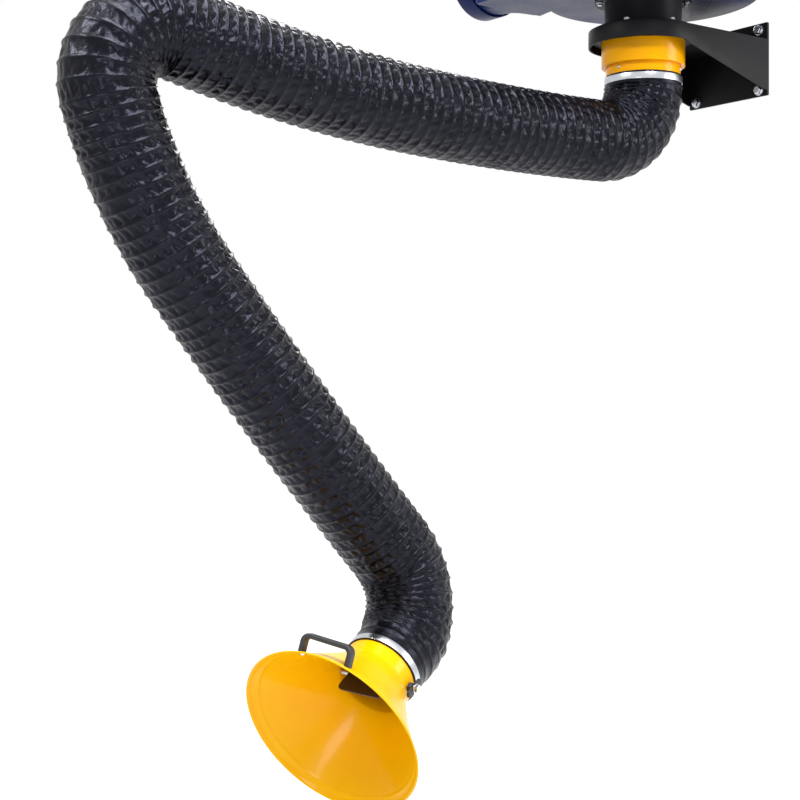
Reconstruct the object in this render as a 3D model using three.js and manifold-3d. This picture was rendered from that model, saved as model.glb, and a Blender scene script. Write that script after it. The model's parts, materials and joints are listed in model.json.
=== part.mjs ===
// Wall-mounted fume extraction arm: bracket, blower, swivel collar, ribbed hose over a jointed
// support arm, and a bell hood with a damper. Millimetres, +Z up. The origin is the centre of the
// wall plate's back face, +Y points into the wall, and the arm reaches out along -Y.
import * as THREE from 'three';
import { mergeVertices } from 'three/addons/utils/BufferGeometryUtils.js';
import Module from 'manifold-3d';

const wasm = await Module();
wasm.setup();

// Fits
const GAP = 0.3;
const PIN_GAP = 0.25;
const OVERRUN = 2;

// Facets
const ROUND = 32;
const SMALL_ROUND = 16;
const HIDDEN_ROUND = 16;
const HEX = 6;
const WIDE_CURVE_STEPS = 12;
const EYE_CURVE_STEPS = 8;
const CORNER_STEPS = 3;

// Wall bracket, whose width follows from the retaining ring inside it
const PLATE_HEIGHT = 160;
const PLATE_THICK = 6;
const PLATE_SETBACK = 2;
const AXIS_REACH = 271;
const SKIRT_CLEARANCE = 4.9;
const SKIRT_SHEET = 4;
const SKIRT_DEPTH = 34;
const GUSSET_SETBACK = 9;
const DECK_TOP = 42;
const DECK_THICK = 5;
const WALL_BOLT_INSET_X = 23;
const WALL_BOLT_INSET_Z = 14;
const WALL_BOLT_RADIUS = 6;
const WALL_BOLT_WASHER_RADIUS = 12;
const WALL_BOLT_WASHER_THICK = 2.5;
const WALL_BOLT_HEAD_RADIUS = 9.8;
const WALL_BOLT_HEAD_THICK = 7;

// Inlet spigot between the deck and the blower
const DUCT_BORE_RADIUS = 79;
const SPIGOT_WALL = 3;
const SPIGOT_HEIGHT = 68;
const SPIGOT_FLANGE_THICK = 5;
const LOWER_FLANGE_RADIUS = 106;
const UPPER_FLANGE_RADIUS = 103;

// Blower
const FAN_SHEET = 2;
const FAN_HEIGHT = 158;
const FAN_SEAM = 6;
const SCROLL_START_RADIUS = 205;
const SCROLL_GROWTH_PER_TURN = 72;
const TONGUE_ANGLE = 207;
const SCROLL_SWEEP = 297;
const SCROLL_STEPS = 30;
const OUTLET_FACE = 235;
const OUTLET_RADIUS = 80;
const OUTLET_TAPER = 50;
const OUTLET_COLLAR_LENGTH = 45;
const OUTLET_COLLAR_WALL = 3.5;
const WHEEL_RADIUS = 158;
const WHEEL_EYE_RADIUS = 92;
const WHEEL_PLATE = 3;
const WHEEL_BOTTOM = 25;
const WHEEL_WIDTH = 96;
const BLADE_COUNT = 10;
const BLADE_LENGTH = 62;
const BLADE_THICK = 3;
const BLADE_LEAN = 35;
const SHAFT_RADIUS = 12;
const SHAFT_IN_MOTOR = 55;
const SHAFT_CLEARANCE = 3;
const HUB_RADIUS = 22;
const HUB_FLANGE_RADIUS = 45;
const HUB_FLANGE_THICK = 5;
const HUB_LENGTH = 30;
const MOTOR_RADIUS = 72;
const MOTOR_HEIGHT = 150;
const MOTOR_FLANGE_RADIUS = 95;
const MOTOR_FLANGE_THICK = 8;
const COWL_WALL = 3;
const COWL_STANDOFF = 4;
const COWL_LIP = 10;
const COWL_OVERLAP = 30;
const COWL_RISE = 35;
const TERMINAL_DEPTH = 52;
const TERMINAL_WIDTH = 84;
const TERMINAL_HEIGHT = 64;
const GLAND_RADIUS = 10;
const GLAND_LENGTH = 22;

// Swivel collar under the deck
const COLLAR_STEP = 9.5;
const COLLAR_WALL = 4;
const COLLAR_BOTTOM = -35;
const COLLAR_CHAMFER = 2;
const COLLAR_FLANGE_REACH = 11;
const COLLAR_FLANGE_THICK = 6;
const SLIDE_WASHER_THICK = 3;
const RETAINER_LIP = 6;
const RETAINER_WALL = 7.5;
const SLEEVE_RADIUS = 79.5;
const SLEEVE_WALL = 3;
const SLEEVE_INSERT = 55;
const CLAMP_WIDTH = 14;
const CLAMP_WALL = 1.5;
const CLAMP_SETBACK = 4;
const WORM_LENGTH = 24;
const WORM_WIDTH = 13;
const WORM_HEIGHT = 9;
const WORM_SCREW_RADIUS = 4.5;
const WORM_SCREW_LENGTH = 36;
const CUFF_WALL = 1.7;
const COLLAR_RADIUS = SLEEVE_RADIUS + COLLAR_STEP;
const COLLAR_FLANGE_RADIUS = COLLAR_RADIUS + COLLAR_FLANGE_REACH;

// Hose: ribs, radii that follow from the sleeve, and route
const RIB_HEIGHT = 3;
const HOSE_BORE_RADIUS = SLEEVE_RADIUS - GAP;
const HOSE_ROOT_RADIUS = SLEEVE_RADIUS + GAP + CUFF_WALL;
const HOSE_CREST_RADIUS = HOSE_ROOT_RADIUS + RIB_HEIGHT;
const HOSE_SIDES = 12;
const RIB_PITCH = 30;
const HOSE_TOP = -55;
const CUFF_LENGTH = 24.5;
const SHOULDER_BEND_RADIUS = 124.5;
const SHOULDER_TURN = 88.8;
const UPPER_RUN_NEAR = 503.5;
const UPPER_RUN_NEAR_TURN = 4.9;
const UPPER_RUN_FAR = 515.7;
const UPPER_RUN_FAR_TURN = 10;
const ELBOW_BEND_RADIUS = 103.1;
const ELBOW_TURN = 121.4;
const LOWER_RUN_NEAR = 339.6;
const LOWER_RUN_NEAR_TURN = 21.5;
const LOWER_RUN_FAR = 648.4;
const LOWER_RUN_FAR_TURN = 3.6;
const WRIST_BEND_RADIUS = 126.6;
const WRIST_TURN = 100.9;
const WRIST_ROLL_ANGLE = -16.4;
const NECK_RUN = 48.9;
const SHOULDER_LEAD = 100;
const ELBOW_LEAD = 100;
const ROLL_RUN = 80;
const NECK_TAPER_RIBS = 2;

// Support arm inside the hose
const EYE_RADIUS = 18;
const LUG_EYE_RADIUS = 17;
const SPIDER_EYE_RADIUS = 16;
const LUG_LOW = -8.7;
const LUG_HIGH = 6;
const FRICTION_DISC_THICK = 2.4;
const CHEEK_INNER = 9;
const CHEEK_THICK = 6;
const PIN_RADIUS = 8;
const PIN_HEAD_RADIUS = 12;
const PIN_HEAD_THICK = 4;
const LINK_TUBE_RADIUS = 11;
const LINK_TUBE_WALL = 2.5;
const BOSS_RADIUS = 17;
const BOSS_START = 60;
const BOSS_LENGTH = 40;
const BOSS_FLOOR = 6;
const YOKE_BAR_TOP = -20;
const YOKE_BAR_DEPTH = 40;
const YOKE_BAR_THICK = 8;
const ELBOW_PIVOT_TURN = 81;
const ELBOW_PIVOT_OUT = 43;
const SOCKET_RADIUS = 20;
const SOCKET_TOP = 100;
const SOCKET_LENGTH = 60;
const SOCKET_FLOOR = 8;
const SPINDLE_RADIUS = 12;
const SPINDLE_COLLAR_RADIUS = 18;
const SPINDLE_COLLAR_THICK = 7;
const GROOVE_DEPTH = 3;
const GROOVE_WIDTH = 8;
const GROOVE_FROM_COLLAR = 30;
const LOCK_SCREW_RADIUS = 3;
const LOCK_SCREW_HEAD_RADIUS = 5.5;
const LOCK_SCREW_HEAD_THICK = 4;
const TILT_PIVOT_OUT = 45;
const TILT_CHEEK_REACH = 46;
const TILT_BLOCK_LENGTH = 16;
const TILT_BLOCK_DEPTH = 34;
const SPIDER_BAR_THICK = 8;
const SPIDER_BAR_DEPTH = 22;
const SPIDER_SETBACK = 2;

// Hood
const NECK_RADIUS = 73;
const HOOD_WALL = 2.5;
const NECK_BACK = 48.4;
const NECK_FRONT = 38;
const HOOD_DEPTH = 180;
const RIM_RADIUS = 175;
const FLARE_POWER = 1.15;
const FLARE_STEPS = 7;
const RIM_BEAD = 4;
const CUFF_FRONT = 9;
const HANDLE_AZIMUTH = 244;
const HANDLE_SPAN = 94;
const HANDLE_HEIGHT = 36;
const HANDLE_BAR = 9;
const HANDLE_WIDTH = 18;
const HANDLE_CORNER = 13;
const HANDLE_FROM_RIM = 17;
const HANDLE_DROP = 3.2;
const HANDLE_SCREW_RADIUS = 2.5;
const HANDLE_SCREW_HEAD_RADIUS = 5;
const HANDLE_SCREW_HEAD_THICK = 3;
const HANDLE_SCREW_GRIP = 9;
const WORM_AZIMUTH_UPPER = 90;
const WORM_AZIMUTH_LOWER = 60;

// Damper in the hood's neck
const DAMPER_AT = 30;
const DAMPER_AZIMUTH = 160;
const DAMPER_SHAFT_RADIUS = 5;
const DAMPER_TAIL = 5;
const BLADE_PLATE_WIDTH = 100;
const BLADE_PLATE_LENGTH = 104;
const BLADE_PLATE_CORNER = 16;
const BLADE_PLATE_THICK = 2.5;
const LEVER_HUB_START = 76;
const LEVER_ARM_START = 84;
const LEVER_ARM_THICK = 5;
const LEVER_LENGTH = 46;
const LEVER_WIDTH = 13;
const LEVER_HUB_RADIUS = 9;
const NUT_RADIUS = 8;
const NUT_THICK = 6.5;

const X_AXIS = new THREE.Vector3(1, 0, 0);
const Z_AXIS = new THREE.Vector3(0, 0, 1);

// Finishes
const BLACK_PAINT = { color: 0x1c1d21, roughness: 0.55, metalness: 0.2 };
const YELLOW_PAINT = { color: 0xf6ad08, roughness: 0.28, metalness: 0.0 };
const BLUE_PAINT = { color: 0x24407f, roughness: 0.35, metalness: 0.1 };
const GREY_PAINT = { color: 0x4a4d52, roughness: 0.5, metalness: 0.3 };
const BRIGHT_STEEL = { color: 0xc9ccd0, roughness: 0.25, metalness: 1.0 };
const DARK_STEEL = { color: 0x5b5e63, roughness: 0.4, metalness: 0.9 };
const BLACK_VINYL = { color: 0x121217, roughness: 0.3, metalness: 0.0 };
const BLACK_PLASTIC = { color: 0x202024, roughness: 0.45, metalness: 0.0 };
const WHITE_NYLON = { color: 0xe6e4dc, roughness: 0.5, metalness: 0.0 };
const FRICTION_LINING = { color: 0x6a5a45, roughness: 0.9, metalness: 0.0 };

const radians = THREE.MathUtils.degToRad;

// Basic solids, all with merged corners and faces pointing out

function signedVolume(position, index) {
  const a = new THREE.Vector3();
  const b = new THREE.Vector3();
  const c = new THREE.Vector3();
  let total = 0;
  for (let i = 0; i < index.length; i += 3) {
    a.fromBufferAttribute(position, index[i]);
    b.fromBufferAttribute(position, index[i + 1]);
    c.fromBufferAttribute(position, index[i + 2]);
    total += a.dot(b.cross(c)) / 6;
  }
  return total;
}

function weld(geometry) {
  const bare = geometry.clone();
  bare.deleteAttribute('normal');
  bare.deleteAttribute('uv');
  const merged = mergeVertices(bare, 1e-4);
  const old = merged.index.array;
  const kept = [];
  for (let i = 0; i < old.length; i += 3) {
    const [a, b, c] = [old[i], old[i + 1], old[i + 2]];
    if (a !== b && b !== c && c !== a) kept.push(a, b, c);
  }
  if (signedVolume(merged.attributes.position, kept) < 0) kept.reverse();
  merged.setIndex(kept);
  return merged;
}

function lathe(points, sides = ROUND) {
  const outline = points.map(([radius, height]) => new THREE.Vector2(radius, height));
  const onAxis = points[0][0] === 0 && points[points.length - 1][0] === 0;
  if (!onAxis) outline.push(outline[0].clone());
  const turned = new THREE.LatheGeometry(outline, sides);
  turned.rotateX(Math.PI / 2);
  return weld(turned);
}

function rod(radius, from, to, sides = SMALL_ROUND) {
  return lathe([[0, from], [radius, from], [radius, to], [0, to]], sides);
}

function tube(inner, outer, from, to, sides = ROUND) {
  return lathe([[inner, from], [outer, from], [outer, to], [inner, to]], sides);
}

function slab(width, depth, from, to) {
  const box = new THREE.BoxGeometry(width, depth, to - from);
  box.translate(0, 0, (from + to) / 2);
  return weld(box);
}

function prism(outline, from, to, curveSegments = WIDE_CURVE_STEPS) {
  const shape = Array.isArray(outline) ? new THREE.Shape(outline) : outline;
  const solid = new THREE.ExtrudeGeometry(shape, { depth: to - from, bevelEnabled: false, curveSegments });
  solid.translate(0, 0, from);
  return weld(solid);
}

function moved(geometry, matrix) {
  return weld(geometry.clone().applyMatrix4(matrix));
}

function shifted(geometry, x, y, z) {
  return moved(geometry, new THREE.Matrix4().makeTranslation(x, y, z));
}

// A frame whose Z axis is the given direction and whose X axis is as near the hint as it can be
function frameAt(origin, zDirection, xHint) {
  const z = zDirection.clone().normalize();
  const x = xHint.clone().addScaledVector(z, -xHint.dot(z)).normalize();
  const y = new THREE.Vector3().crossVectors(z, x);
  return new THREE.Matrix4().makeBasis(x, y, z).setPosition(origin);
}

// Cutting and joining

function solidOf(geometry) {
  const mesh = new wasm.Mesh({
    numProp: 3,
    vertProperties: new Float32Array(geometry.attributes.position.array),
    triVerts: new Uint32Array(geometry.index.array),
  });
  return new wasm.Manifold(mesh);
}

function geometryOf(solid) {
  const mesh = solid.getMesh();
  const geometry = new THREE.BufferGeometry();
  geometry.setAttribute('position', new THREE.BufferAttribute(new Float32Array(mesh.vertProperties), 3));
  geometry.setIndex(Array.from(mesh.triVerts));
  return geometry;
}

function cut(base, ...tools) {
  return geometryOf(tools.reduce((body, tool) => body.subtract(solidOf(tool)), solidOf(base)));
}

function join(base, ...others) {
  return geometryOf(others.reduce((body, other) => body.add(solidOf(other)), solidOf(base)));
}

function piece(group, name, geometry, finish) {
  const mesh = new THREE.Mesh(geometry, new THREE.MeshStandardMaterial(finish));
  mesh.name = name;
  group.add(mesh);
  return mesh;
}

function groupAt(matrix) {
  const group = new THREE.Group();
  matrix.decompose(group.position, group.quaternion, group.scale);
  return group;
}

// The hose's route: runs of constant curvature, each starting where the last one ends

class Run {
  constructor(point, heading, axis, length, turn) {
    Object.assign(this, { point, heading, axis, length, turn: radians(turn) });
  }

  at(distance) {
    const inward = new THREE.Vector3().crossVectors(this.axis, this.heading);
    const angle = this.turn * distance / this.length;
    const radius = this.turn === 0 ? 0 : this.length / this.turn;
    const ahead = this.turn === 0 ? distance : radius * Math.sin(angle);
    const aside = this.turn === 0 ? 0 : radius * (1 - Math.cos(angle));
    const point = this.point.clone().addScaledVector(this.heading, ahead).addScaledVector(inward, aside);
    const heading = this.heading.clone().multiplyScalar(Math.cos(angle));
    heading.addScaledVector(inward, Math.sin(angle));
    return { point, heading, axis: this.axis };
  }

  end() {
    return this.at(this.length);
  }
}

class HoseRoute {
  constructor(point, heading) {
    this.tip = { point, heading };
    this.runs = [];
    this.length = 0;
  }

  add(length, turn, axis) {
    const run = new Run(this.tip.point, this.tip.heading, axis, length, turn);
    run.start = this.length;
    this.runs.push(run);
    this.length += length;
    this.tip = run.end();
    return run;
  }

  at(distance) {
    const run = this.runs.find((one) => distance <= one.start + one.length) ?? this.runs.at(-1);
    return run.at(distance - run.start);
  }
}

const upward = X_AXIS.clone().negate();
const downward = X_AXIS;
const route = new HoseRoute(new THREE.Vector3(0, -AXIS_REACH, HOSE_TOP), Z_AXIS.clone().negate());
const cuffRun = route.add(CUFF_LENGTH, 0, upward);
const shoulderRun = route.add(SHOULDER_BEND_RADIUS * radians(SHOULDER_TURN), SHOULDER_TURN, upward);
route.add(UPPER_RUN_NEAR, UPPER_RUN_NEAR_TURN, upward);
route.add(UPPER_RUN_FAR, UPPER_RUN_FAR_TURN, upward);
const elbowRun = route.add(ELBOW_BEND_RADIUS * radians(ELBOW_TURN), ELBOW_TURN, downward);
route.add(LOWER_RUN_NEAR, LOWER_RUN_NEAR_TURN, downward);
const lowerRun = route.add(LOWER_RUN_FAR, LOWER_RUN_FAR_TURN, downward);
const rollPoint = route.tip.point;
const rollAxis = route.tip.heading;
const tiltAxis = upward.clone().applyAxisAngle(rollAxis, radians(WRIST_ROLL_ANGLE));
const wristRun = route.add(WRIST_BEND_RADIUS * radians(WRIST_TURN), WRIST_TURN, tiltAxis);
route.add(NECK_RUN, 0, tiltAxis);
const neckPoint = route.tip.point;
const hoodAxis = route.tip.heading;

// Joint places, from the route
const cuffBottom = cuffRun.end().point.z;
const shoulderReach = SHOULDER_BEND_RADIUS * Math.tan(radians(SHOULDER_TURN) / 2);
const shoulderPivot = cuffRun.end().point.clone().addScaledVector(cuffRun.end().heading, shoulderReach);
const elbowPivot = outsideBend(elbowRun, ELBOW_BEND_RADIUS * radians(ELBOW_PIVOT_TURN), ELBOW_PIVOT_OUT);
const socketTop = rollPoint.clone().addScaledVector(rollAxis, -SOCKET_TOP);
const tiltPivot = outsideBend(wristRun, wristRun.length / 2, TILT_PIVOT_OUT);

function outsideBend(run, distance, out) {
  const { point, heading, axis } = run.at(distance);
  const inward = new THREE.Vector3().crossVectors(axis, heading);
  return point.addScaledVector(inward, -out);
}

// A ribbed hose along a stretch of the route: two rings to a rib outside, plain rings inside

function ringPoints(station, radius) {
  const side = station.axis.clone().multiplyScalar(Math.sign(station.axis.x));
  const up = new THREE.Vector3().crossVectors(station.heading, side);
  return Array.from({ length: HOSE_SIDES }, (_, i) => {
    const angle = 2 * Math.PI * i / HOSE_SIDES;
    const out = side.clone().multiplyScalar(Math.cos(angle)).addScaledVector(up, Math.sin(angle));
    return station.point.clone().addScaledVector(out, radius);
  });
}

function shellOfRings(outer, inner) {
  const points = [...outer, ...inner].flat();
  const sides = outer[0].length;
  const index = [];
  const band = (a, b) => {
    for (let i = 0; i < sides; i += 1) {
      const j = (i + 1) % sides;
      index.push(a + i, a + j, b + j, a + i, b + j, b + i);
    }
  };
  const outerRow = (k) => k * sides;
  const innerRow = (k) => (outer.length + k) * sides;
  for (let k = 0; k + 1 < outer.length; k += 1) band(outerRow(k), outerRow(k + 1));
  band(outerRow(outer.length - 1), innerRow(inner.length - 1));
  for (let k = inner.length - 1; k > 0; k -= 1) band(innerRow(k), innerRow(k - 1));
  band(innerRow(0), outerRow(0));
  const geometry = new THREE.BufferGeometry();
  const flat = new Float32Array(points.flatMap((point) => point.toArray()));
  geometry.setAttribute('position', new THREE.BufferAttribute(flat, 3));
  geometry.setIndex(index);
  return weld(geometry);
}

function ribbedHose(from, to, ribsPerBoreRing, drawIn = 0) {
  const start = from + GAP / 2;
  const length = to - from - GAP;
  const ribs = Math.max(1, Math.round(length / RIB_PITCH));
  const station = (rib) => route.at(start + length * rib / ribs);
  const narrowing = (rib) => drawIn * Math.max(0, 1 - (ribs - rib) / NECK_TAPER_RIBS);
  const outer = [];
  const inner = [];
  for (let rib = 0; rib <= ribs; rib += 1) {
    outer.push(ringPoints(station(rib), HOSE_ROOT_RADIUS - narrowing(rib)));
    const crest = rib + 0.5;
    if (rib < ribs) outer.push(ringPoints(station(crest), HOSE_CREST_RADIUS - narrowing(crest)));
    const boreRing = rib % ribsPerBoreRing === 0 || rib === ribs || rib >= ribs - NECK_TAPER_RIBS;
    if (boreRing) inner.push(ringPoints(station(rib), HOSE_BORE_RADIUS - narrowing(rib)));
  }
  return shellOfRings(outer, inner);
}

// Pieces of the support arm's joints

// A flat link about an eye at the origin: thickness along X, reaching along +Z
function flatLink(low, high, radius, reach) {
  const shape = new THREE.Shape();
  shape.absarc(0, 0, radius, Math.PI / 2, 3 * Math.PI / 2, false);
  shape.lineTo(reach, -radius);
  shape.lineTo(reach, radius);
  shape.closePath();
  const hole = new THREE.Path();
  hole.absarc(0, 0, PIN_RADIUS + PIN_GAP, 0, 2 * Math.PI, true);
  shape.holes.push(hole);
  const plate = prism(shape, low, high, EYE_CURVE_STEPS);
  const swap = new THREE.Matrix4().makeBasis(Z_AXIS, new THREE.Vector3(0, 1, 0), X_AXIS);
  return moved(plate, swap);
}

function cheeks(radius, reach) {
  const outerFace = CHEEK_INNER + CHEEK_THICK;
  return [flatLink(CHEEK_INNER, outerFace, radius, reach), flatLink(-outerFace, -CHEEK_INNER, radius, reach)];
}

function alongX(geometry) {
  return moved(geometry, new THREE.Matrix4().makeRotationY(Math.PI / 2));
}

function pivotPin() {
  const head = CHEEK_INNER + CHEEK_THICK + GAP;
  const end = head + PIN_HEAD_THICK;
  const outline = [
    [0, -end], [PIN_HEAD_RADIUS, -end], [PIN_HEAD_RADIUS, -head], [PIN_RADIUS, -head],
    [PIN_RADIUS, head], [PIN_HEAD_RADIUS, head], [PIN_HEAD_RADIUS, end], [0, end],
  ];
  return alongX(lathe(outline, SMALL_ROUND));
}

function frictionDisc() {
  const from = LUG_HIGH + GAP;
  return alongX(tube(PIN_RADIUS + PIN_GAP, LUG_EYE_RADIUS, from, from + FRICTION_DISC_THICK, SMALL_ROUND));
}

const tubeStart = BOSS_START + BOSS_FLOOR;

function tubeBoss() {
  const body = rod(BOSS_RADIUS, BOSS_START, BOSS_START + BOSS_LENGTH);
  const seat = rod(LINK_TUBE_RADIUS + GAP, tubeStart - GAP, BOSS_START + BOSS_LENGTH + OVERRUN);
  return [body, seat];
}

function knuckle() {
  const [body, seat] = tubeBoss();
  return cut(join(flatLink(LUG_LOW, LUG_HIGH, LUG_EYE_RADIUS, BOSS_START + BOSS_FLOOR / 2), body), seat);
}

function clevis() {
  const [body, seat] = tubeBoss();
  return cut(join(body, ...cheeks(EYE_RADIUS, BOSS_START + BOSS_FLOOR / 2)), seat);
}

function linkTube(from, to) {
  return tube(LINK_TUBE_RADIUS - LINK_TUBE_WALL, LINK_TUBE_RADIUS, from, to, SMALL_ROUND);
}

// Worm-drive clamp: a band and its screw housing

function clampBand(radius, middle) {
  return tube(radius, radius + CLAMP_WALL, middle - CLAMP_WIDTH / 2, middle + CLAMP_WIDTH / 2);
}

function clampWorm(radius, middle, azimuth) {
  const bottom = radius + CLAMP_WALL + GAP;
  const housing = slab(WORM_LENGTH, WORM_WIDTH, 0, WORM_HEIGHT);
  const screw = rod(WORM_SCREW_RADIUS, -WORM_SCREW_LENGTH / 2, WORM_SCREW_LENGTH / 2, SMALL_ROUND);
  const lying = moved(screw, new THREE.Matrix4().makeRotationY(Math.PI / 2));
  const body = join(housing, shifted(lying, 0, 0, WORM_HEIGHT / 2));
  const out = new THREE.Vector3(Math.cos(radians(azimuth)), Math.sin(radians(azimuth)), 0);
  const along = new THREE.Vector3().crossVectors(Z_AXIS, out);
  return moved(body, frameAt(out.clone().multiplyScalar(bottom).setZ(middle), out, along));
}

const arm = new THREE.Group();

// Wall bracket

const bracket = new THREE.Group();
arm.add(bracket);
const atAxis = groupAt(new THREE.Matrix4().makeTranslation(0, -AXIS_REACH, 0));
arm.add(atAxis);
const plateFront = AXIS_REACH - PLATE_THICK - GAP;
const retainerInner = COLLAR_FLANGE_RADIUS + 2 * GAP;
const retainerOuter = retainerInner + RETAINER_WALL;
const skirtInner = retainerOuter + SKIRT_CLEARANCE;
const skirtRadius = skirtInner + SKIRT_SHEET;
const plateWidth = 2 * (skirtRadius - PLATE_SETBACK);
const skirtBottom = DECK_TOP - SKIRT_DEPTH;
const gussetBottom = GUSSET_SETBACK - PLATE_HEIGHT / 2;
const deckUnder = DECK_TOP - DECK_THICK;

function bracketOutline(radius, back) {
  const shape = new THREE.Shape();
  shape.moveTo(radius, back);
  shape.lineTo(radius, 0);
  shape.absarc(0, 0, radius, 0, -Math.PI, true);
  shape.lineTo(-radius, back);
  shape.closePath();
  return shape;
}

function wallBolt() {
  const seat = PLATE_THICK + GAP;
  const head = seat + WALL_BOLT_WASHER_THICK;
  const top = head + WALL_BOLT_HEAD_THICK;
  const shank = rod(WALL_BOLT_RADIUS, GAP, top);
  const washer = rod(WALL_BOLT_WASHER_RADIUS, seat, head);
  const hex = rod(WALL_BOLT_HEAD_RADIUS, head - GAP, top, HEX);
  return join(shank, washer, hex);
}

function makeBracket() {
  const boltX = plateWidth / 2 - WALL_BOLT_INSET_X;
  const boltZ = PLATE_HEIGHT / 2 - WALL_BOLT_INSET_Z;
  const corners = [[1, 1], [-1, 1], [1, -1], [-1, -1]];
  const towardsRoom = new THREE.Matrix4().makeRotationX(Math.PI / 2);
  const plate = slab(plateWidth, PLATE_HEIGHT, 0, PLATE_THICK);
  const holes = corners.map(([x, z]) => {
    const hole = rod(WALL_BOLT_RADIUS + GAP, -OVERRUN, PLATE_THICK + OVERRUN);
    return shifted(hole, x * boltX, z * boltZ, 0);
  });
  piece(bracket, 'wall_plate', moved(cut(plate, ...holes), towardsRoom), BLACK_PAINT);
  corners.forEach(([x, z], i) => {
    const bolt = piece(bracket, `wall_bolt_${i + 1}`, moved(wallBolt(), towardsRoom), BRIGHT_STEEL);
    bolt.position.set(x * boltX, 0, z * boltZ);
  });

  const strip = prism(bracketOutline(skirtRadius, plateFront), gussetBottom, DECK_TOP);
  const front = -skirtRadius - OVERRUN;
  const below = gussetBottom - OVERRUN;
  const hollow = prism(bracketOutline(skirtInner, plateFront + OVERRUN), below, DECK_TOP + OVERRUN);
  const slope = [
    [front, skirtBottom], [0, skirtBottom], [plateFront, gussetBottom], [plateFront, below], [front, below],
  ].map(([y, z]) => new THREE.Vector2(y, z));
  const across = new THREE.Matrix4().makeBasis(new THREE.Vector3(0, 1, 0), Z_AXIS, X_AXIS);
  const wedge = moved(prism(slope, -skirtRadius - OVERRUN, skirtRadius + OVERRUN), across);
  piece(atAxis, 'bracket_skirt', cut(strip, hollow, wedge), BLACK_PAINT);

  const deck = prism(bracketOutline(skirtInner - GAP, plateFront), deckUnder, DECK_TOP);
  const mouth = rod(DUCT_BORE_RADIUS, deckUnder - OVERRUN, DECK_TOP + OVERRUN, ROUND);
  piece(atAxis, 'bracket_deck', cut(deck, mouth), BLACK_PAINT);
}

// Swivel collar with its slide washer and retaining ring

const washerTop = deckUnder - GAP;
const flangeTop = washerTop - SLIDE_WASHER_THICK - GAP;
const flangeUnder = flangeTop - COLLAR_FLANGE_THICK;
const clampRadius = SLEEVE_RADIUS + GAP + CUFF_WALL + GAP;
const upperClampMiddle = HOSE_TOP - CLAMP_SETBACK - CLAMP_WIDTH / 2;

function makeCollar() {
  const inside = COLLAR_RADIUS - COLLAR_WALL;
  piece(atAxis, 'slide_washer', tube(inside, COLLAR_FLANGE_RADIUS, washerTop - SLIDE_WASHER_THICK, washerTop),
    WHITE_NYLON);
  const lipTop = flangeUnder - GAP;
  const lipInner = COLLAR_RADIUS + 2 * GAP;
  const retainer = lathe([
    [lipInner, lipTop - RETAINER_LIP], [retainerOuter, lipTop - RETAINER_LIP],
    [retainerOuter, washerTop], [retainerInner, washerTop], [retainerInner, lipTop], [lipInner, lipTop],
  ]);
  piece(atAxis, 'retaining_ring', retainer, BLACK_PAINT);
  const collar = lathe([
    [inside, flangeTop], [COLLAR_FLANGE_RADIUS, flangeTop], [COLLAR_FLANGE_RADIUS, flangeUnder],
    [COLLAR_RADIUS, flangeUnder], [COLLAR_RADIUS, COLLAR_BOTTOM + COLLAR_CHAMFER],
    [COLLAR_RADIUS - COLLAR_CHAMFER, COLLAR_BOTTOM],
    [SLEEVE_RADIUS + GAP, COLLAR_BOTTOM], [SLEEVE_RADIUS + GAP, COLLAR_BOTTOM + COLLAR_WALL],
    [inside, COLLAR_BOTTOM + COLLAR_WALL],
  ]);
  piece(atAxis, 'swivel_collar', collar, YELLOW_PAINT);
  const sleeve = tube(SLEEVE_RADIUS - SLEEVE_WALL, SLEEVE_RADIUS, cuffBottom, COLLAR_BOTTOM + SLEEVE_INSERT);
  piece(atAxis, 'duct_sleeve', sleeve, YELLOW_PAINT);
  const cuff = tube(SLEEVE_RADIUS + GAP, SLEEVE_RADIUS + GAP + CUFF_WALL, cuffBottom + GAP / 2, HOSE_TOP);
  piece(atAxis, 'hose_cuff_upper', cuff, BLACK_VINYL);
  piece(atAxis, 'upper_clamp_band', clampBand(clampRadius, upperClampMiddle), BRIGHT_STEEL);
  const worm = clampWorm(clampRadius, upperClampMiddle, WORM_AZIMUTH_UPPER);
  piece(atAxis, 'upper_clamp_screw', worm, BRIGHT_STEEL);

  const barEnd = SLEEVE_RADIUS - SLEEVE_WALL - 2 * GAP;
  const barBottom = YOKE_BAR_TOP - YOKE_BAR_DEPTH;
  const bar = slab(2 * barEnd, YOKE_BAR_THICK, barBottom, YOKE_BAR_TOP);
  const reach = barBottom + YOKE_BAR_DEPTH / 2 - shoulderPivot.z;
  const legs = cheeks(EYE_RADIUS, reach).map((leg) => shifted(leg, 0, 0, shoulderPivot.z));
  piece(atAxis, 'shoulder_yoke', join(bar, ...legs), DARK_STEEL);
  const pin = piece(atAxis, 'shoulder_pin', pivotPin(), BRIGHT_STEEL);
  pin.position.z = shoulderPivot.z;
  const disc = piece(atAxis, 'shoulder_friction_disc', frictionDisc(), FRICTION_LINING);
  disc.position.z = shoulderPivot.z;
}

// Inlet spigot and blower

const fanBottom = DECK_TOP + SPIGOT_HEIGHT;
const atFan = groupAt(new THREE.Matrix4().makeTranslation(0, -AXIS_REACH, fanBottom));
arm.add(atFan);
const scrollEndRadius = SCROLL_START_RADIUS + SCROLL_GROWTH_PER_TURN * SCROLL_SWEEP / 360;
const tongue = new THREE.Vector2(Math.cos(radians(TONGUE_ANGLE)), Math.sin(radians(TONGUE_ANGLE)))
  .multiplyScalar(SCROLL_START_RADIUS);

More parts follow.
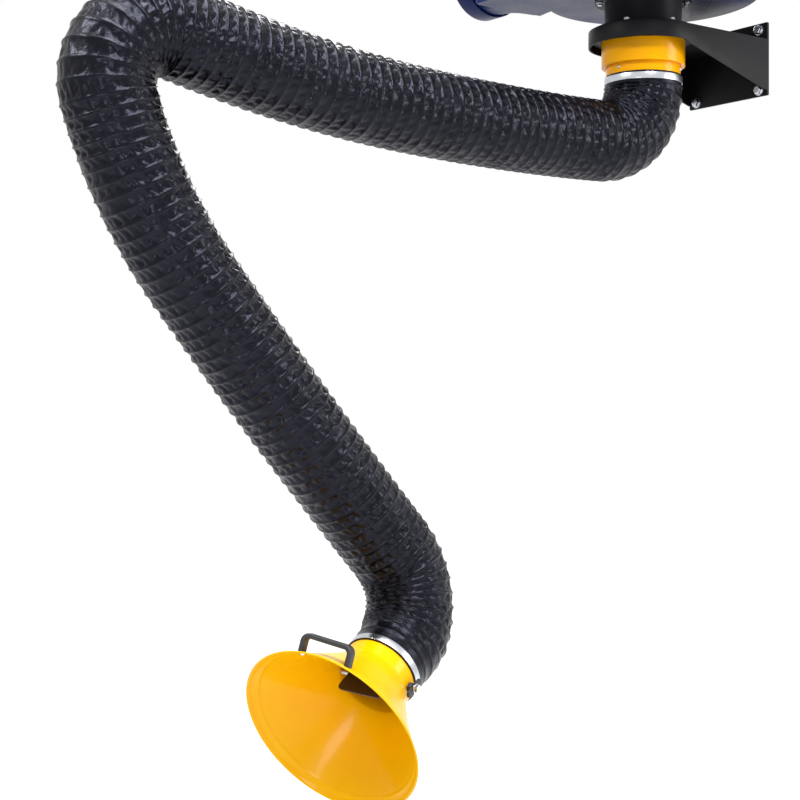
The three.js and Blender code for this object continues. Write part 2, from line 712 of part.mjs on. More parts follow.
function scrollOutline(offset, faceOverrun) {
  const points = [];
  for (let i = 0; i <= SCROLL_STEPS; i += 1) {
    const sweep = SCROLL_SWEEP * i / SCROLL_STEPS;
    const angle = radians(TONGUE_ANGLE - sweep);
    const radius = SCROLL_START_RADIUS + SCROLL_GROWTH_PER_TURN * sweep / 360 + offset;
    points.push(new THREE.Vector2(radius * Math.cos(angle), radius * Math.sin(angle)));
  }
  const face = -OUTLET_FACE - faceOverrun;
  points.push(new THREE.Vector2(face, -scrollEndRadius - offset));
  points.push(new THREE.Vector2(face, tongue.y + offset));
  points.push(new THREE.Vector2(tongue.x - offset, tongue.y + offset));
  return points;
}

function outletRing(halfWidth, halfHeight, radius, roundness, x, middleY, middleZ) {
  return Array.from({ length: ROUND }, (_, i) => {
    const angle = 2 * Math.PI * (i + 0.5) / ROUND;
    const reachY = Math.abs(Math.cos(angle)) / halfWidth;
    const reachZ = Math.abs(Math.sin(angle)) / halfHeight;
    const square = 1 / Math.max(reachY, reachZ);
    const out = THREE.MathUtils.lerp(square, radius, roundness);
    return new THREE.Vector3(x, middleY + out * Math.cos(angle), middleZ + out * Math.sin(angle));
  });
}

function makeBlower() {
  const lower = DECK_TOP + GAP;
  const upper = fanBottom - GAP;
  const spigotOuter = DUCT_BORE_RADIUS + SPIGOT_WALL;
  const neckFrom = lower + SPIGOT_FLANGE_THICK;
  const neckTo = upper - SPIGOT_FLANGE_THICK;
  const spigot = lathe([
    [DUCT_BORE_RADIUS, lower], [LOWER_FLANGE_RADIUS, lower], [LOWER_FLANGE_RADIUS, neckFrom],
    [spigotOuter, neckFrom], [spigotOuter, neckTo], [UPPER_FLANGE_RADIUS, neckTo],
    [UPPER_FLANGE_RADIUS, upper], [DUCT_BORE_RADIUS, upper],
  ]);
  piece(atAxis, 'inlet_spigot', spigot, BLACK_PAINT);

  const lidUnder = FAN_HEIGHT - FAN_SHEET;
  const floor = prism(scrollOutline(FAN_SEAM, 0), 0, FAN_SHEET);
  piece(atFan, 'fan_bottom_plate', cut(floor, rod(DUCT_BORE_RADIUS, -OVERRUN, FAN_SHEET + OVERRUN, ROUND)),
    BLUE_PAINT);
  const wallFrom = FAN_SHEET + GAP;
  const wallTo = lidUnder - GAP;
  const wall = cut(prism(scrollOutline(0, 0), wallFrom, wallTo),
    prism(scrollOutline(-FAN_SHEET, OVERRUN), wallFrom - OVERRUN, wallTo + OVERRUN));
  piece(atFan, 'fan_scroll_wall', wall, BLUE_PAINT);
  const shaftHole = rod(SHAFT_RADIUS + SHAFT_CLEARANCE, lidUnder - OVERRUN, FAN_HEIGHT + OVERRUN);
  const lid = prism(scrollOutline(FAN_SEAM, 0), lidUnder, FAN_HEIGHT);
  piece(atFan, 'fan_lid', cut(lid, shaftHole), BLUE_PAINT);

  const middleY = (tongue.y - scrollEndRadius) / 2;
  const middleZ = FAN_HEIGHT / 2;
  const halfWidth = (tongue.y + scrollEndRadius) / 2;
  const mouthX = -OUTLET_FACE - GAP;
  const roundX = mouthX - OUTLET_TAPER;
  const endX = roundX - OUTLET_COLLAR_LENGTH;
  const rings = (inset) => [[0, mouthX], [1, roundX], [1, endX]].map(([roundness, x]) => outletRing(
    halfWidth - inset, FAN_HEIGHT / 2 - inset, OUTLET_RADIUS - inset, roundness, x, middleY, middleZ));
  piece(atFan, 'outlet_duct', shellOfRings(rings(0), rings(FAN_SHEET)), BLUE_PAINT);
  const collarInner = OUTLET_RADIUS + 2 * GAP;
  const collar = tube(collarInner, collarInner + OUTLET_COLLAR_WALL, 0, OUTLET_COLLAR_LENGTH);
  const outwards = X_AXIS.clone().negate();
  const collarFrame = frameAt(new THREE.Vector3(roundX, middleY, middleZ), outwards, Z_AXIS);
  piece(atFan, 'outlet_collar', moved(collar, collarFrame), BLUE_PAINT);
}

function makeWheel() {
  const backUnder = WHEEL_BOTTOM + WHEEL_WIDTH - WHEEL_PLATE;
  const backTop = WHEEL_BOTTOM + WHEEL_WIDTH;
  const shroudTop = WHEEL_BOTTOM + WHEEL_PLATE;
  const shroud = tube(WHEEL_EYE_RADIUS, WHEEL_RADIUS, WHEEL_BOTTOM, shroudTop, HIDDEN_ROUND);
  const back = tube(SHAFT_RADIUS + GAP, WHEEL_RADIUS, backUnder, backTop, HIDDEN_ROUND);
  const bladeMiddle = (WHEEL_EYE_RADIUS + WHEEL_RADIUS) / 2;
  const blades = Array.from({ length: BLADE_COUNT }, (_, i) => {
    const blade = slab(BLADE_LENGTH, BLADE_THICK, shroudTop - WHEEL_PLATE / 2, backUnder + WHEEL_PLATE / 2);
    const lean = new THREE.Matrix4().makeRotationZ(radians(BLADE_LEAN)).setPosition(bladeMiddle, 0, 0);
    const spread = new THREE.Matrix4().makeRotationZ(2 * Math.PI * i / BLADE_COUNT);
    return moved(blade, spread.multiply(lean));
  });
  piece(atFan, 'impeller_wheel', join(back, shroud, ...blades), GREY_PAINT);
  const hubTop = backUnder - GAP;
  const hub = lathe([
    [SHAFT_RADIUS + GAP, hubTop - HUB_LENGTH], [HUB_RADIUS, hubTop - HUB_LENGTH],
    [HUB_RADIUS, hubTop - HUB_FLANGE_THICK], [HUB_FLANGE_RADIUS, hubTop - HUB_FLANGE_THICK],
    [HUB_FLANGE_RADIUS, hubTop], [SHAFT_RADIUS + GAP, hubTop],
  ], SMALL_ROUND);
  piece(atFan, 'impeller_hub', hub, DARK_STEEL);
  const shaft = rod(SHAFT_RADIUS, hubTop - HUB_LENGTH, FAN_HEIGHT + SHAFT_IN_MOTOR);
  piece(atFan, 'motor_shaft', shaft, BRIGHT_STEEL);
}

function makeMotor() {
  const base = FAN_HEIGHT + GAP;
  const top = base + MOTOR_HEIGHT;
  const bore = SHAFT_RADIUS + GAP;
  const boreTop = FAN_HEIGHT + SHAFT_IN_MOTOR + OVERRUN;
  const housing = lathe([
    [0, boreTop], [bore, boreTop], [bore, base], [MOTOR_FLANGE_RADIUS, base],
    [MOTOR_FLANGE_RADIUS, base + MOTOR_FLANGE_THICK], [MOTOR_RADIUS, base + MOTOR_FLANGE_THICK],
    [MOTOR_RADIUS, top], [0, top],
  ], HIDDEN_ROUND);
  piece(atFan, 'motor_housing', housing, BLUE_PAINT);
  const inner = MOTOR_RADIUS + COWL_STANDOFF;
  const outer = inner + COWL_WALL;
  const cowlBottom = top - COWL_OVERLAP;
  const cowlTop = top + COWL_RISE;
  const cowl = lathe([
    [0, cowlTop - COWL_WALL], [inner, cowlTop - COWL_WALL], [inner, cowlBottom + COWL_LIP],
    [MOTOR_RADIUS + GAP, cowlBottom + COWL_LIP], [MOTOR_RADIUS + GAP, cowlBottom], [outer, cowlBottom],
    [outer, cowlTop - COWL_LIP], [outer - COWL_LIP, cowlTop], [0, cowlTop],
  ], HIDDEN_ROUND);
  piece(atFan, 'motor_cowl', cowl, BLUE_PAINT);
  const boxTop = cowlBottom - GAP;
  const boxOut = MOTOR_RADIUS + TERMINAL_DEPTH;
  const box = shifted(slab(boxOut, TERMINAL_WIDTH, boxTop - TERMINAL_HEIGHT, boxTop), boxOut / 2, 0, 0);
  const saddle = rod(MOTOR_RADIUS + GAP, base, top, HIDDEN_ROUND);
  piece(atFan, 'terminal_box', cut(box, saddle), BLACK_PLASTIC);
  const gland = rod(GLAND_RADIUS, 0, GLAND_LENGTH, HEX);
  const glandX = boxOut - TERMINAL_DEPTH / 2;
  const glandY = -TERMINAL_WIDTH / 2 - GAP;
  const glandAt = new THREE.Vector3(glandX, glandY, boxTop - TERMINAL_HEIGHT / 2);
  const glandFrame = frameAt(glandAt, new THREE.Vector3(0, -1, 0), Z_AXIS);
  piece(atFan, 'cable_gland', moved(gland, glandFrame), BLACK_PLASTIC);
}

// Upper link, from the shoulder pivot to the elbow pivot

function makeUpperArm() {
  const along = elbowPivot.clone().sub(shoulderPivot);
  const span = along.length();
  const link = groupAt(frameAt(shoulderPivot, along, X_AXIS));
  arm.add(link);
  piece(link, 'shoulder_knuckle', knuckle(), DARK_STEEL);
  piece(link, 'upper_tube', linkTube(tubeStart, span - tubeStart), BRIGHT_STEEL);
  const far = groupAt(frameAt(elbowPivot, along.clone().negate(), X_AXIS));
  arm.add(far);
  piece(far, 'elbow_clevis', clevis(), DARK_STEEL);
  piece(far, 'elbow_pin', pivotPin(), BRIGHT_STEEL);
  piece(far, 'elbow_friction_disc', frictionDisc(), FRICTION_LINING);
}

// Lower link, from the elbow pivot to the roll socket at the wrist

const rollFrame = frameAt(rollPoint, rollAxis, tiltAxis);
const spindleAxisSide = new THREE.Vector3(0, 1, 0);
const collarTop = -SOCKET_TOP + SOCKET_LENGTH + GAP;
const grooveMiddle = collarTop - GROOVE_FROM_COLLAR;

function makeForearm() {
  const along = socketTop.clone().sub(elbowPivot);
  const span = along.length();
  const link = groupAt(frameAt(elbowPivot, along, X_AXIS));
  arm.add(link);
  piece(link, 'elbow_knuckle', knuckle(), DARK_STEEL);
  const tubeEnd = span - 2 * BOSS_FLOOR;
  piece(link, 'forearm_tube', linkTube(tubeStart, tubeEnd), BRIGHT_STEEL);

  const wrist = groupAt(rollFrame);
  arm.add(wrist);
  const intoRoll = rollFrame.clone().invert();
  const forearmFrame = frameAt(elbowPivot, along, X_AXIS);
  const bossFrom = tubeEnd - BOSS_LENGTH;
  const boss = moved(rod(BOSS_RADIUS, bossFrom, span + BOSS_FLOOR / 2), forearmFrame);
  const seat = moved(rod(LINK_TUBE_RADIUS + GAP, bossFrom - OVERRUN, tubeEnd + GAP), forearmFrame);
  const body = rod(SOCKET_RADIUS, -SOCKET_TOP, -SOCKET_TOP + SOCKET_LENGTH);
  const bore = rod(SPINDLE_RADIUS + PIN_GAP, -SOCKET_TOP + SOCKET_FLOOR, OVERRUN);
  const screwFrame = frameAt(new THREE.Vector3(0, 0, grooveMiddle), spindleAxisSide, Z_AXIS);
  const screwHole = moved(rod(LOCK_SCREW_RADIUS + PIN_GAP, 0, SOCKET_RADIUS + OVERRUN), screwFrame);
  const socket = cut(join(body, moved(boss, intoRoll)), moved(seat, intoRoll), bore, screwHole);
  piece(wrist, 'wrist_socket', socket, DARK_STEEL);
  const tip = SPINDLE_RADIUS - GROOVE_DEPTH + GAP;
  const head = SOCKET_RADIUS + GAP;
  const screw = lathe([
    [0, tip], [LOCK_SCREW_RADIUS, tip], [LOCK_SCREW_RADIUS, head], [LOCK_SCREW_HEAD_RADIUS, head],
    [LOCK_SCREW_HEAD_RADIUS, head + LOCK_SCREW_HEAD_THICK], [0, head + LOCK_SCREW_HEAD_THICK],
  ], SMALL_ROUND);
  piece(wrist, 'wrist_lock_screw', moved(screw, screwFrame), BRIGHT_STEEL);
}

// Wrist spindle that rolls in the socket and carries the hood's tilt pivot

function makeWrist() {
  const wrist = groupAt(rollFrame);
  arm.add(wrist);
  const pivot = tiltPivot.clone().applyMatrix4(rollFrame.clone().invert());
  const collarBottom = collarTop + SPINDLE_COLLAR_THICK;
  const neck = SPINDLE_RADIUS - GROOVE_DEPTH;
  const start = -SOCKET_TOP + SOCKET_FLOOR + GAP;
  const back = new THREE.Vector3(0, -pivot.y / 2, -TILT_CHEEK_REACH);
  const blockBottom = pivot.z - TILT_CHEEK_REACH;
  const stem = lathe([
    [0, start], [SPINDLE_RADIUS, start], [SPINDLE_RADIUS, grooveMiddle - GROOVE_WIDTH / 2],
    [neck, grooveMiddle - GROOVE_WIDTH / 2], [neck, grooveMiddle + GROOVE_WIDTH / 2],
    [SPINDLE_RADIUS, grooveMiddle + GROOVE_WIDTH / 2], [SPINDLE_RADIUS, collarTop],
    [SPINDLE_COLLAR_RADIUS, collarTop], [SPINDLE_COLLAR_RADIUS, collarBottom], [SPINDLE_RADIUS, collarBottom],
    [SPINDLE_RADIUS, blockBottom], [0, blockBottom],
  ], SMALL_ROUND);
  const outerFace = CHEEK_INNER + CHEEK_THICK;
  const block = slab(2 * outerFace, TILT_BLOCK_DEPTH, blockBottom - TILT_BLOCK_LENGTH, blockBottom);
  const toSpindle = frameAt(pivot, back, X_AXIS);
  const earReach = TILT_CHEEK_REACH + TILT_BLOCK_LENGTH / 2;
  const ears = cheeks(EYE_RADIUS, earReach).map((ear) => moved(ear, toSpindle));
  piece(wrist, 'wrist_spindle', join(stem, shifted(block, 0, pivot.y / 2, 0), ...ears), DARK_STEEL);
  const pin = piece(wrist, 'tilt_pin', pivotPin(), BRIGHT_STEEL);
  pin.position.copy(pivot);
  const disc = piece(wrist, 'tilt_friction_disc', frictionDisc(), FRICTION_LINING);
  disc.position.copy(pivot);
}

// Hood, in a frame at the neck clamp with Z along the hood's axis

const hoodFrame = frameAt(neckPoint, hoodAxis, tiltAxis);
const hood = groupAt(hoodFrame);
arm.add(hood);

function bellRadius(depth) {
  const share = Math.max(0, (depth - NECK_FRONT) / (HOOD_DEPTH - NECK_FRONT));
  return NECK_RADIUS + (RIM_RADIUS - NECK_RADIUS) * share ** FLARE_POWER;
}

function bellSlope(depth) {
  const step = 1;
  return (bellRadius(depth + step) - bellRadius(depth - step)) / (2 * step);
}

function bellOutline(grow) {
  const points = [[NECK_RADIUS + grow, -NECK_BACK]];
  for (let i = 0; i <= FLARE_STEPS; i += 1) {
    const depth = NECK_FRONT + (HOOD_DEPTH - NECK_FRONT) * i / FLARE_STEPS;
    points.push([bellRadius(depth) + grow, depth]);
  }
  return points;
}

// A frame on the bell's outside with Z along the outward normal and X round the rim
function onBell(azimuth, depth, radius) {
  const angle = radians(azimuth);
  const radial = new THREE.Vector3(Math.cos(angle), Math.sin(angle), 0);
  const normal = radial.clone().setZ(-bellSlope(depth)).normalize();
  const round = new THREE.Vector3().crossVectors(Z_AXIS, radial);
  return frameAt(radial.multiplyScalar(radius).setZ(depth), normal, round);
}

function handleOutline() {
  const half = (HANDLE_SPAN + HANDLE_BAR) / 2;
  const inner = half - HANDLE_BAR;
  const innerTop = HANDLE_HEIGHT - HANDLE_BAR;
  const innerCorner = HANDLE_CORNER - HANDLE_BAR / 2;
  const foot = -HANDLE_HEIGHT;
  const shape = new THREE.Shape();
  const cornerX = half - HANDLE_CORNER;
  const cornerY = HANDLE_HEIGHT - HANDLE_CORNER;
  shape.moveTo(half, foot);
  shape.lineTo(half, cornerY);
  shape.absarc(cornerX, cornerY, HANDLE_CORNER, 0, Math.PI / 2, false);
  shape.lineTo(-cornerX, HANDLE_HEIGHT);
  shape.absarc(-cornerX, cornerY, HANDLE_CORNER, Math.PI / 2, Math.PI, false);
  shape.lineTo(-half, foot);
  shape.lineTo(-inner, foot);
  shape.lineTo(-inner, innerTop - innerCorner);
  shape.absarc(-inner + innerCorner, innerTop - innerCorner, innerCorner, Math.PI, Math.PI / 2, true);
  shape.lineTo(inner - innerCorner, innerTop);
  shape.absarc(inner - innerCorner, innerTop - innerCorner, innerCorner, Math.PI / 2, 0, true);
  shape.lineTo(inner, foot);
  shape.closePath();
  return shape;
}

function makeHood() {
  const handleDepth = HOOD_DEPTH - HANDLE_FROM_RIM;
  const handleRadius = bellRadius(handleDepth);
  const footSpread = THREE.MathUtils.radToDeg(Math.asin(HANDLE_SPAN / 2 / handleRadius));
  const feet = [HANDLE_AZIMUTH - footSpread, HANDLE_AZIMUTH + footSpread];
  const footFrames = feet.map((azimuth) => onBell(azimuth, handleDepth, handleRadius));
  const screwHoleFrom = -HOOD_WALL - HANDLE_SCREW_HEAD_THICK - OVERRUN;
  const screwHoles = footFrames.map((frame) => moved(
    rod(HANDLE_SCREW_RADIUS + PIN_GAP, screwHoleFrom, HANDLE_SCREW_GRIP + GAP), frame));

  const outer = bellOutline(0);
  const inner = bellOutline(-HOOD_WALL).reverse();
  const beadRadius = RIM_RADIUS + RIM_BEAD / 2;
  const beadEnd = HOOD_DEPTH + RIM_BEAD;
  const bead = [
    [beadRadius, HOOD_DEPTH + RIM_BEAD / 4], [beadRadius, beadEnd],
    [RIM_RADIUS - HOOD_WALL + RIM_BEAD / 4, beadEnd],
  ];
  const shaftAxis = X_AXIS.clone().applyAxisAngle(Z_AXIS, radians(DAMPER_AZIMUTH));
  const shaftFrame = frameAt(new THREE.Vector3(0, 0, DAMPER_AT), shaftAxis, Z_AXIS);
  const shaftEnd = LEVER_ARM_START + LEVER_ARM_THICK + GAP + NUT_THICK + GAP;
  const shaftHole = rod(DAMPER_SHAFT_RADIUS + PIN_GAP, -NECK_RADIUS - OVERRUN, NECK_RADIUS + OVERRUN);
  const bell = cut(lathe([...outer, ...bead, ...inner], ROUND), moved(shaftHole, shaftFrame), ...screwHoles);
  piece(hood, 'hood_bell', bell, YELLOW_PAINT);

  const staple = prism(handleOutline(), -HANDLE_WIDTH / 2, HANDLE_WIDTH / 2, CORNER_STEPS);
  const upright = new THREE.Matrix4().makeRotationX(Math.PI / 2);
  const drop = new THREE.Matrix4().makeTranslation(0, 0, -HANDLE_DROP);
  const handleFrame = onBell(HANDLE_AZIMUTH, handleDepth, handleRadius).multiply(drop).multiply(upright);
  const pastRim = HOOD_DEPTH + 2 * HANDLE_HEIGHT;
  const outsideBell = [...bellOutline(GAP), [RIM_RADIUS + RIM_BEAD, pastRim]];
  const inside = lathe([[0, -NECK_BACK], ...outsideBell, [0, pastRim]]);
  piece(hood, 'hood_handle', cut(moved(staple, handleFrame), inside, ...screwHoles), BLACK_PLASTIC);
  footFrames.forEach((frame, i) => {
    const seat = -HOOD_WALL - GAP;
    const screw = lathe([
      [0, seat - HANDLE_SCREW_HEAD_THICK], [HANDLE_SCREW_HEAD_RADIUS, seat - HANDLE_SCREW_HEAD_THICK],
      [HANDLE_SCREW_HEAD_RADIUS, seat], [HANDLE_SCREW_RADIUS, seat], [HANDLE_SCREW_RADIUS, HANDLE_SCREW_GRIP],
      [0, HANDLE_SCREW_GRIP],
    ], SMALL_ROUND);
    piece(hood, `handle_screw_${i + 1}`, moved(screw, frame), BRIGHT_STEEL);
  });

  const cuffInner = NECK_RADIUS + GAP;
  const cuffOuter = cuffInner + CUFF_WALL;
  piece(hood, 'hose_cuff_lower', tube(cuffInner, cuffOuter, -NECK_RUN + GAP / 2, CUFF_FRONT), BLACK_VINYL);
  piece(hood, 'lower_clamp_band', clampBand(cuffOuter + GAP, 0), BRIGHT_STEEL);
  piece(hood, 'lower_clamp_screw', clampWorm(cuffOuter + GAP, 0, WORM_AZIMUTH_LOWER), BRIGHT_STEEL);

  const barHalf = NECK_RADIUS - HOOD_WALL - 2 * GAP;
  const barBack = -NECK_BACK + SPIDER_SETBACK;
  const bar = slab(2 * barHalf, SPIDER_BAR_THICK, barBack, barBack + SPIDER_BAR_DEPTH);
  const pivot = tiltPivot.clone().applyMatrix4(hoodFrame.clone().invert());
  const barMiddle = new THREE.Vector3(0, 0, barBack + SPIDER_BAR_DEPTH / 2);
  const towardsBar = barMiddle.clone().sub(pivot);
  const stem = flatLink(LUG_LOW, LUG_HIGH, SPIDER_EYE_RADIUS, towardsBar.length());
  piece(hood, 'hood_spider', join(bar, moved(stem, frameAt(pivot, towardsBar, X_AXIS))), DARK_STEEL);

  const shaft = rod(DAMPER_SHAFT_RADIUS, -NECK_RADIUS - DAMPER_TAIL, shaftEnd);
  piece(hood, 'damper_shaft', moved(shaft, shaftFrame), BRIGHT_STEEL);
  const bladeSeat = DAMPER_SHAFT_RADIUS + GAP;
  const bladeOutline = roundedRectangle(BLADE_PLATE_LENGTH, BLADE_PLATE_WIDTH, BLADE_PLATE_CORNER);
  const blade = prism(bladeOutline, bladeSeat, bladeSeat + BLADE_PLATE_THICK, CORNER_STEPS);
  const flat = new THREE.Matrix4().makeBasis(X_AXIS, Z_AXIS, new THREE.Vector3(0, -1, 0));
  piece(hood, 'damper_blade', moved(moved(blade, flat), shaftFrame), BLACK_PAINT);
  const hub = rod(LEVER_HUB_RADIUS, LEVER_HUB_START, LEVER_ARM_START + LEVER_ARM_THICK);
  const leverArm = slab(LEVER_LENGTH, LEVER_WIDTH, LEVER_ARM_START, LEVER_ARM_START + LEVER_ARM_THICK);
  const bore = rod(DAMPER_SHAFT_RADIUS + PIN_GAP, LEVER_HUB_START - OVERRUN, shaftEnd);
  piece(hood, 'damper_lever', moved(cut(join(hub, leverArm), bore), shaftFrame), BLACK_PLASTIC);
  const nutFrom = LEVER_ARM_START + LEVER_ARM_THICK + GAP;
  const nut = cut(rod(NUT_RADIUS, nutFrom, nutFrom + NUT_THICK, HEX), bore);
  piece(hood, 'lever_nut', moved(nut, shaftFrame), BRIGHT_STEEL);
}

function roundedRectangle(length, width, corner) {
  const x = length / 2 - corner;
  const y = width / 2 - corner;
  const shape = new THREE.Shape();
  shape.absarc(x, y, corner, 0, Math.PI / 2, false);
  shape.absarc(-x, y, corner, Math.PI / 2, Math.PI, false);
  shape.absarc(-x, -y, corner, Math.PI, 3 * Math.PI / 2, false);
  shape.absarc(x, -y, corner, 3 * Math.PI / 2, 2 * Math.PI, false);
  shape.closePath();
  return shape;
}

// Hose, split where its joints bend or twist it

function makeHose() {
  const hose = new THREE.Group();
  arm.add(hose);
  const shoulderEnd = shoulderRun.start + shoulderRun.length + SHOULDER_LEAD;
  const elbowStart = elbowRun.start - ELBOW_LEAD;
  const elbowEnd = elbowRun.start + elbowRun.length + ELBOW_LEAD;
  const rollEnd = lowerRun.start + lowerRun.length;
  const rollStart = rollEnd - ROLL_RUN;
  const wristEnd = wristRun.start + wristRun.length;
  const drawIn = HOSE_BORE_RADIUS - NECK_RADIUS - 2 * GAP;
  piece(hose, 'hose_shoulder', ribbedHose(shoulderRun.start, shoulderEnd, 1), BLACK_VINYL);
  piece(hose, 'hose_upper', ribbedHose(shoulderEnd, elbowStart, 5), BLACK_VINYL);
  piece(hose, 'hose_elbow', ribbedHose(elbowStart, elbowEnd, 1), BLACK_VINYL);
  piece(hose, 'hose_lower', ribbedHose(elbowEnd, rollStart, 2), BLACK_VINYL);
  piece(hose, 'hose_roll', ribbedHose(rollStart, rollEnd, 5), BLACK_VINYL);
  piece(hose, 'hose_wrist', ribbedHose(wristRun.start, wristEnd, 1, drawIn), BLACK_VINYL);
}

makeBracket();
makeCollar();
makeBlower();
makeWheel();
makeMotor();
makeUpperArm();
makeForearm();
makeWrist();
makeHood();
makeHose();

export default arm;
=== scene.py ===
"""Looks of a wall-mounted fume extraction arm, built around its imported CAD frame.

Sizes are in millimetres in the dataclasses and become metres when a mesh is made.
"""
import json
import logging
import math
from dataclasses import dataclass, field, replace
from enum import Enum
from typing import Iterable, Sequence

import bmesh
import bpy
import numpy as np
from mathutils import Matrix, Vector
from mathutils.geometry import tessellate_polygon


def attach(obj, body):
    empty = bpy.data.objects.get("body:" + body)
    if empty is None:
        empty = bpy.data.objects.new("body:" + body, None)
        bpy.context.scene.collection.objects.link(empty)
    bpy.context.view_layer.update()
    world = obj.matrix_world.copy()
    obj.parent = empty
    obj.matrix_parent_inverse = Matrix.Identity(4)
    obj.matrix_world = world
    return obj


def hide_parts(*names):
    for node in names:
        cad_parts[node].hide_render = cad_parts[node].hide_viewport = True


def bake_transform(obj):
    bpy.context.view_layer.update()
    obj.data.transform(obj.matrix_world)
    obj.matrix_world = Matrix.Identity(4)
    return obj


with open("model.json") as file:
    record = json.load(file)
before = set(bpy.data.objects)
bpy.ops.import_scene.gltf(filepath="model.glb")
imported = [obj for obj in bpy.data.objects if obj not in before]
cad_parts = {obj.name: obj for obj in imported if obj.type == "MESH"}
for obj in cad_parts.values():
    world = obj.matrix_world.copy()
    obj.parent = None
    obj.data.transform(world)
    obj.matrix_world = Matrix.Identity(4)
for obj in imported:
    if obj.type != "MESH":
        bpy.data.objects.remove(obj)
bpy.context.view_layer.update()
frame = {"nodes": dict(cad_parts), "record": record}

LOG = logging.getLogger("extraction_arm")
MM = 0.001
MERGE_DISTANCE = 1e-6
X_AXIS = Vector((1, 0, 0))
Y_AXIS = Vector((0, 1, 0))
Z_AXIS = Vector((0, 0, 1))
Pair = tuple[float, float]
Triple = tuple[float, float, float]
Outline = Sequence[Pair]
Band = tuple[float, float, float, float]
Face = tuple[int, ...]


def srgb(code: str) -> tuple[float, float, float, float]:
    """Turns an sRGB hex colour into linear RGBA.

    Args:
        code: six hex digits.

    Returns:
        Linear red, green, blue and an alpha of 1.
    """
    parts = [int(code[i:i + 2], 16) / 255 for i in (0, 2, 4)]
    linear = [c / 12.92 if c <= 0.04045 else ((c + 0.055) / 1.055) ** 2.4 for c in parts]
    return (*linear, 1.0)


class Grain(Enum):
    """How a finish's fine relief is patterned."""

    ORANGE_PEEL = "orange peel"
    MOULDED = "moulded"
    DRAWN = "drawn"
    WRINKLED = "wrinkled"
    FIBRE = "fibre"

    @property
    def stretch(self) -> Triple:
        """How much finer the pattern is along each axis."""
        longer = {Grain.DRAWN: (1.0, 1.0, 6.0), Grain.FIBRE: (1.0, 4.0, 1.0)}
        return longer.get(self, (1.0, 1.0, 1.0))


@dataclass(frozen=True)
class Finish:
    """One real material and process, with pattern sizes in millimetres."""

    name: str
    slot: str
    colour: str
    second: str
    roughness: Pair
    grain: Grain
    grain_mm: float
    relief_mm: float
    metallic: float = 0.0
    coat: float = 0.0
    coat_roughness: float = 0.1
    specular: float = 0.5
    specular_tint: str = "FFFFFF"


# Glossy polyester powder coat, with the faint orange peel such paint dries to
YELLOW = Finish("yellow_gloss_powder_coat", "yellow_paint", "FBAC00", "FDB200", (0.2, 0.28),
                Grain.ORANGE_PEEL, 5.0, 0.008, coat=0.08, coat_roughness=0.04, specular=0.11)
# Painted light: a copy of the same powder coat, a little less red, for the hood alone, standing in
# for how light falls in and on the hood
HOOD_YELLOW_PAINTED_LIGHT = replace(YELLOW, name="hood_powder_coat_painted_light", colour="FCBA00", second="FEC000")
# Satin charcoal powder coat on bent sheet
CHARCOAL = Finish("charcoal_satin_powder_coat", "black_paint", "0D0D10", "121215", (0.42, 0.54),
                  Grain.ORANGE_PEEL, 1.6, 0.03, specular=0.15)
# Gloss navy enamel on the blower's rolled sheet
NAVY = Finish("navy_gloss_enamel", "blue_paint", "0E1C50", "122258", (0.22, 0.32),
              Grain.ORANGE_PEEL, 6.0, 0.006, coat=0.02, specular=0.09)
# Grey enamel on the impeller
GREY = Finish("grey_enamel", "grey_paint", "85888C", "7B7E82", (0.4, 0.55),
              Grain.ORANGE_PEEL, 2.0, 0.03)
# Zinc-plated rolled steel strip and fasteners
ZINC = Finish("zinc_plated_steel", "bright_steel", "C9CCD1", "B4B8BF", (0.18, 0.34),
              Grain.DRAWN, 2.5, 0.01, metallic=1.0)
# Oiled dark steel of the hidden linkage
STEEL = Finish("oiled_steel", "dark_steel", "55585C", "63666A", (0.35, 0.5),
               Grain.DRAWN, 3.0, 0.02, metallic=1.0)
# Drawn aluminium tube
TUBE = Finish("drawn_aluminium", "link_tube", "C3C5C8", "B6B8BC", (0.25, 0.4),
              Grain.DRAWN, 2.0, 0.01, metallic=1.0)
# Black PVC-coated cloth over a wire helix, glossy and crumpled between the turns; its bluish
# specular tint is a painted colour of the light it reflects
VINYL = Finish("coated_cloth_vinyl", "black_vinyl", "050507", "08080B", (0.26, 0.36),
               Grain.WRINKLED, 7.0, 1.0, specular=0.2, specular_tint="D9DCFF")
# Injection-moulded black polyamide
POLYAMIDE = Finish("moulded_black_polyamide", "black_plastic", "1D1D20", "242428", (0.4, 0.52),
                   Grain.MOULDED, 0.8, 0.04)
# Black lacquered damper sheet; its brown tint is a painted reflection of the yellow hood around it
DAMPER = Finish("dark_sheet_with_painted_reflection", "black_paint", "2B1D16", "35241B", (0.35, 0.45),
                Grain.ORANGE_PEEL, 3.0, 0.02)
# Turned white nylon
NYLON = Finish("turned_nylon", "white_nylon", "E4E2DA", "DAD8D0", (0.45, 0.55),
               Grain.DRAWN, 1.5, 0.02)
# Pressed brown friction lining
LINING = Finish("pressed_friction_lining", "friction_lining", "7A6448", "6A563D", (0.8, 0.95),
                Grain.FIBRE, 1.2, 0.1)
# What a CAD node that stays shown is made of, one finish per slot
NODE_FINISHES = (YELLOW, CHARCOAL, NAVY, GREY, ZINC, STEEL, TUBE, VINYL, POLYAMIDE, NYLON, LINING)

# The slow drift of colour and gloss over a surface, and the strength of its relief
CLOUD_SCALE = 14.0
CLOUD_DETAIL = 3.0
COLOUR_STOPS = (0.35, 0.68)
GLOSS_STOPS = (0.3, 0.7)
GRAIN_DETAIL = 2.0
CRUMPLE_SHARE = 0.55
RELIEF_STRENGTH = 0.6


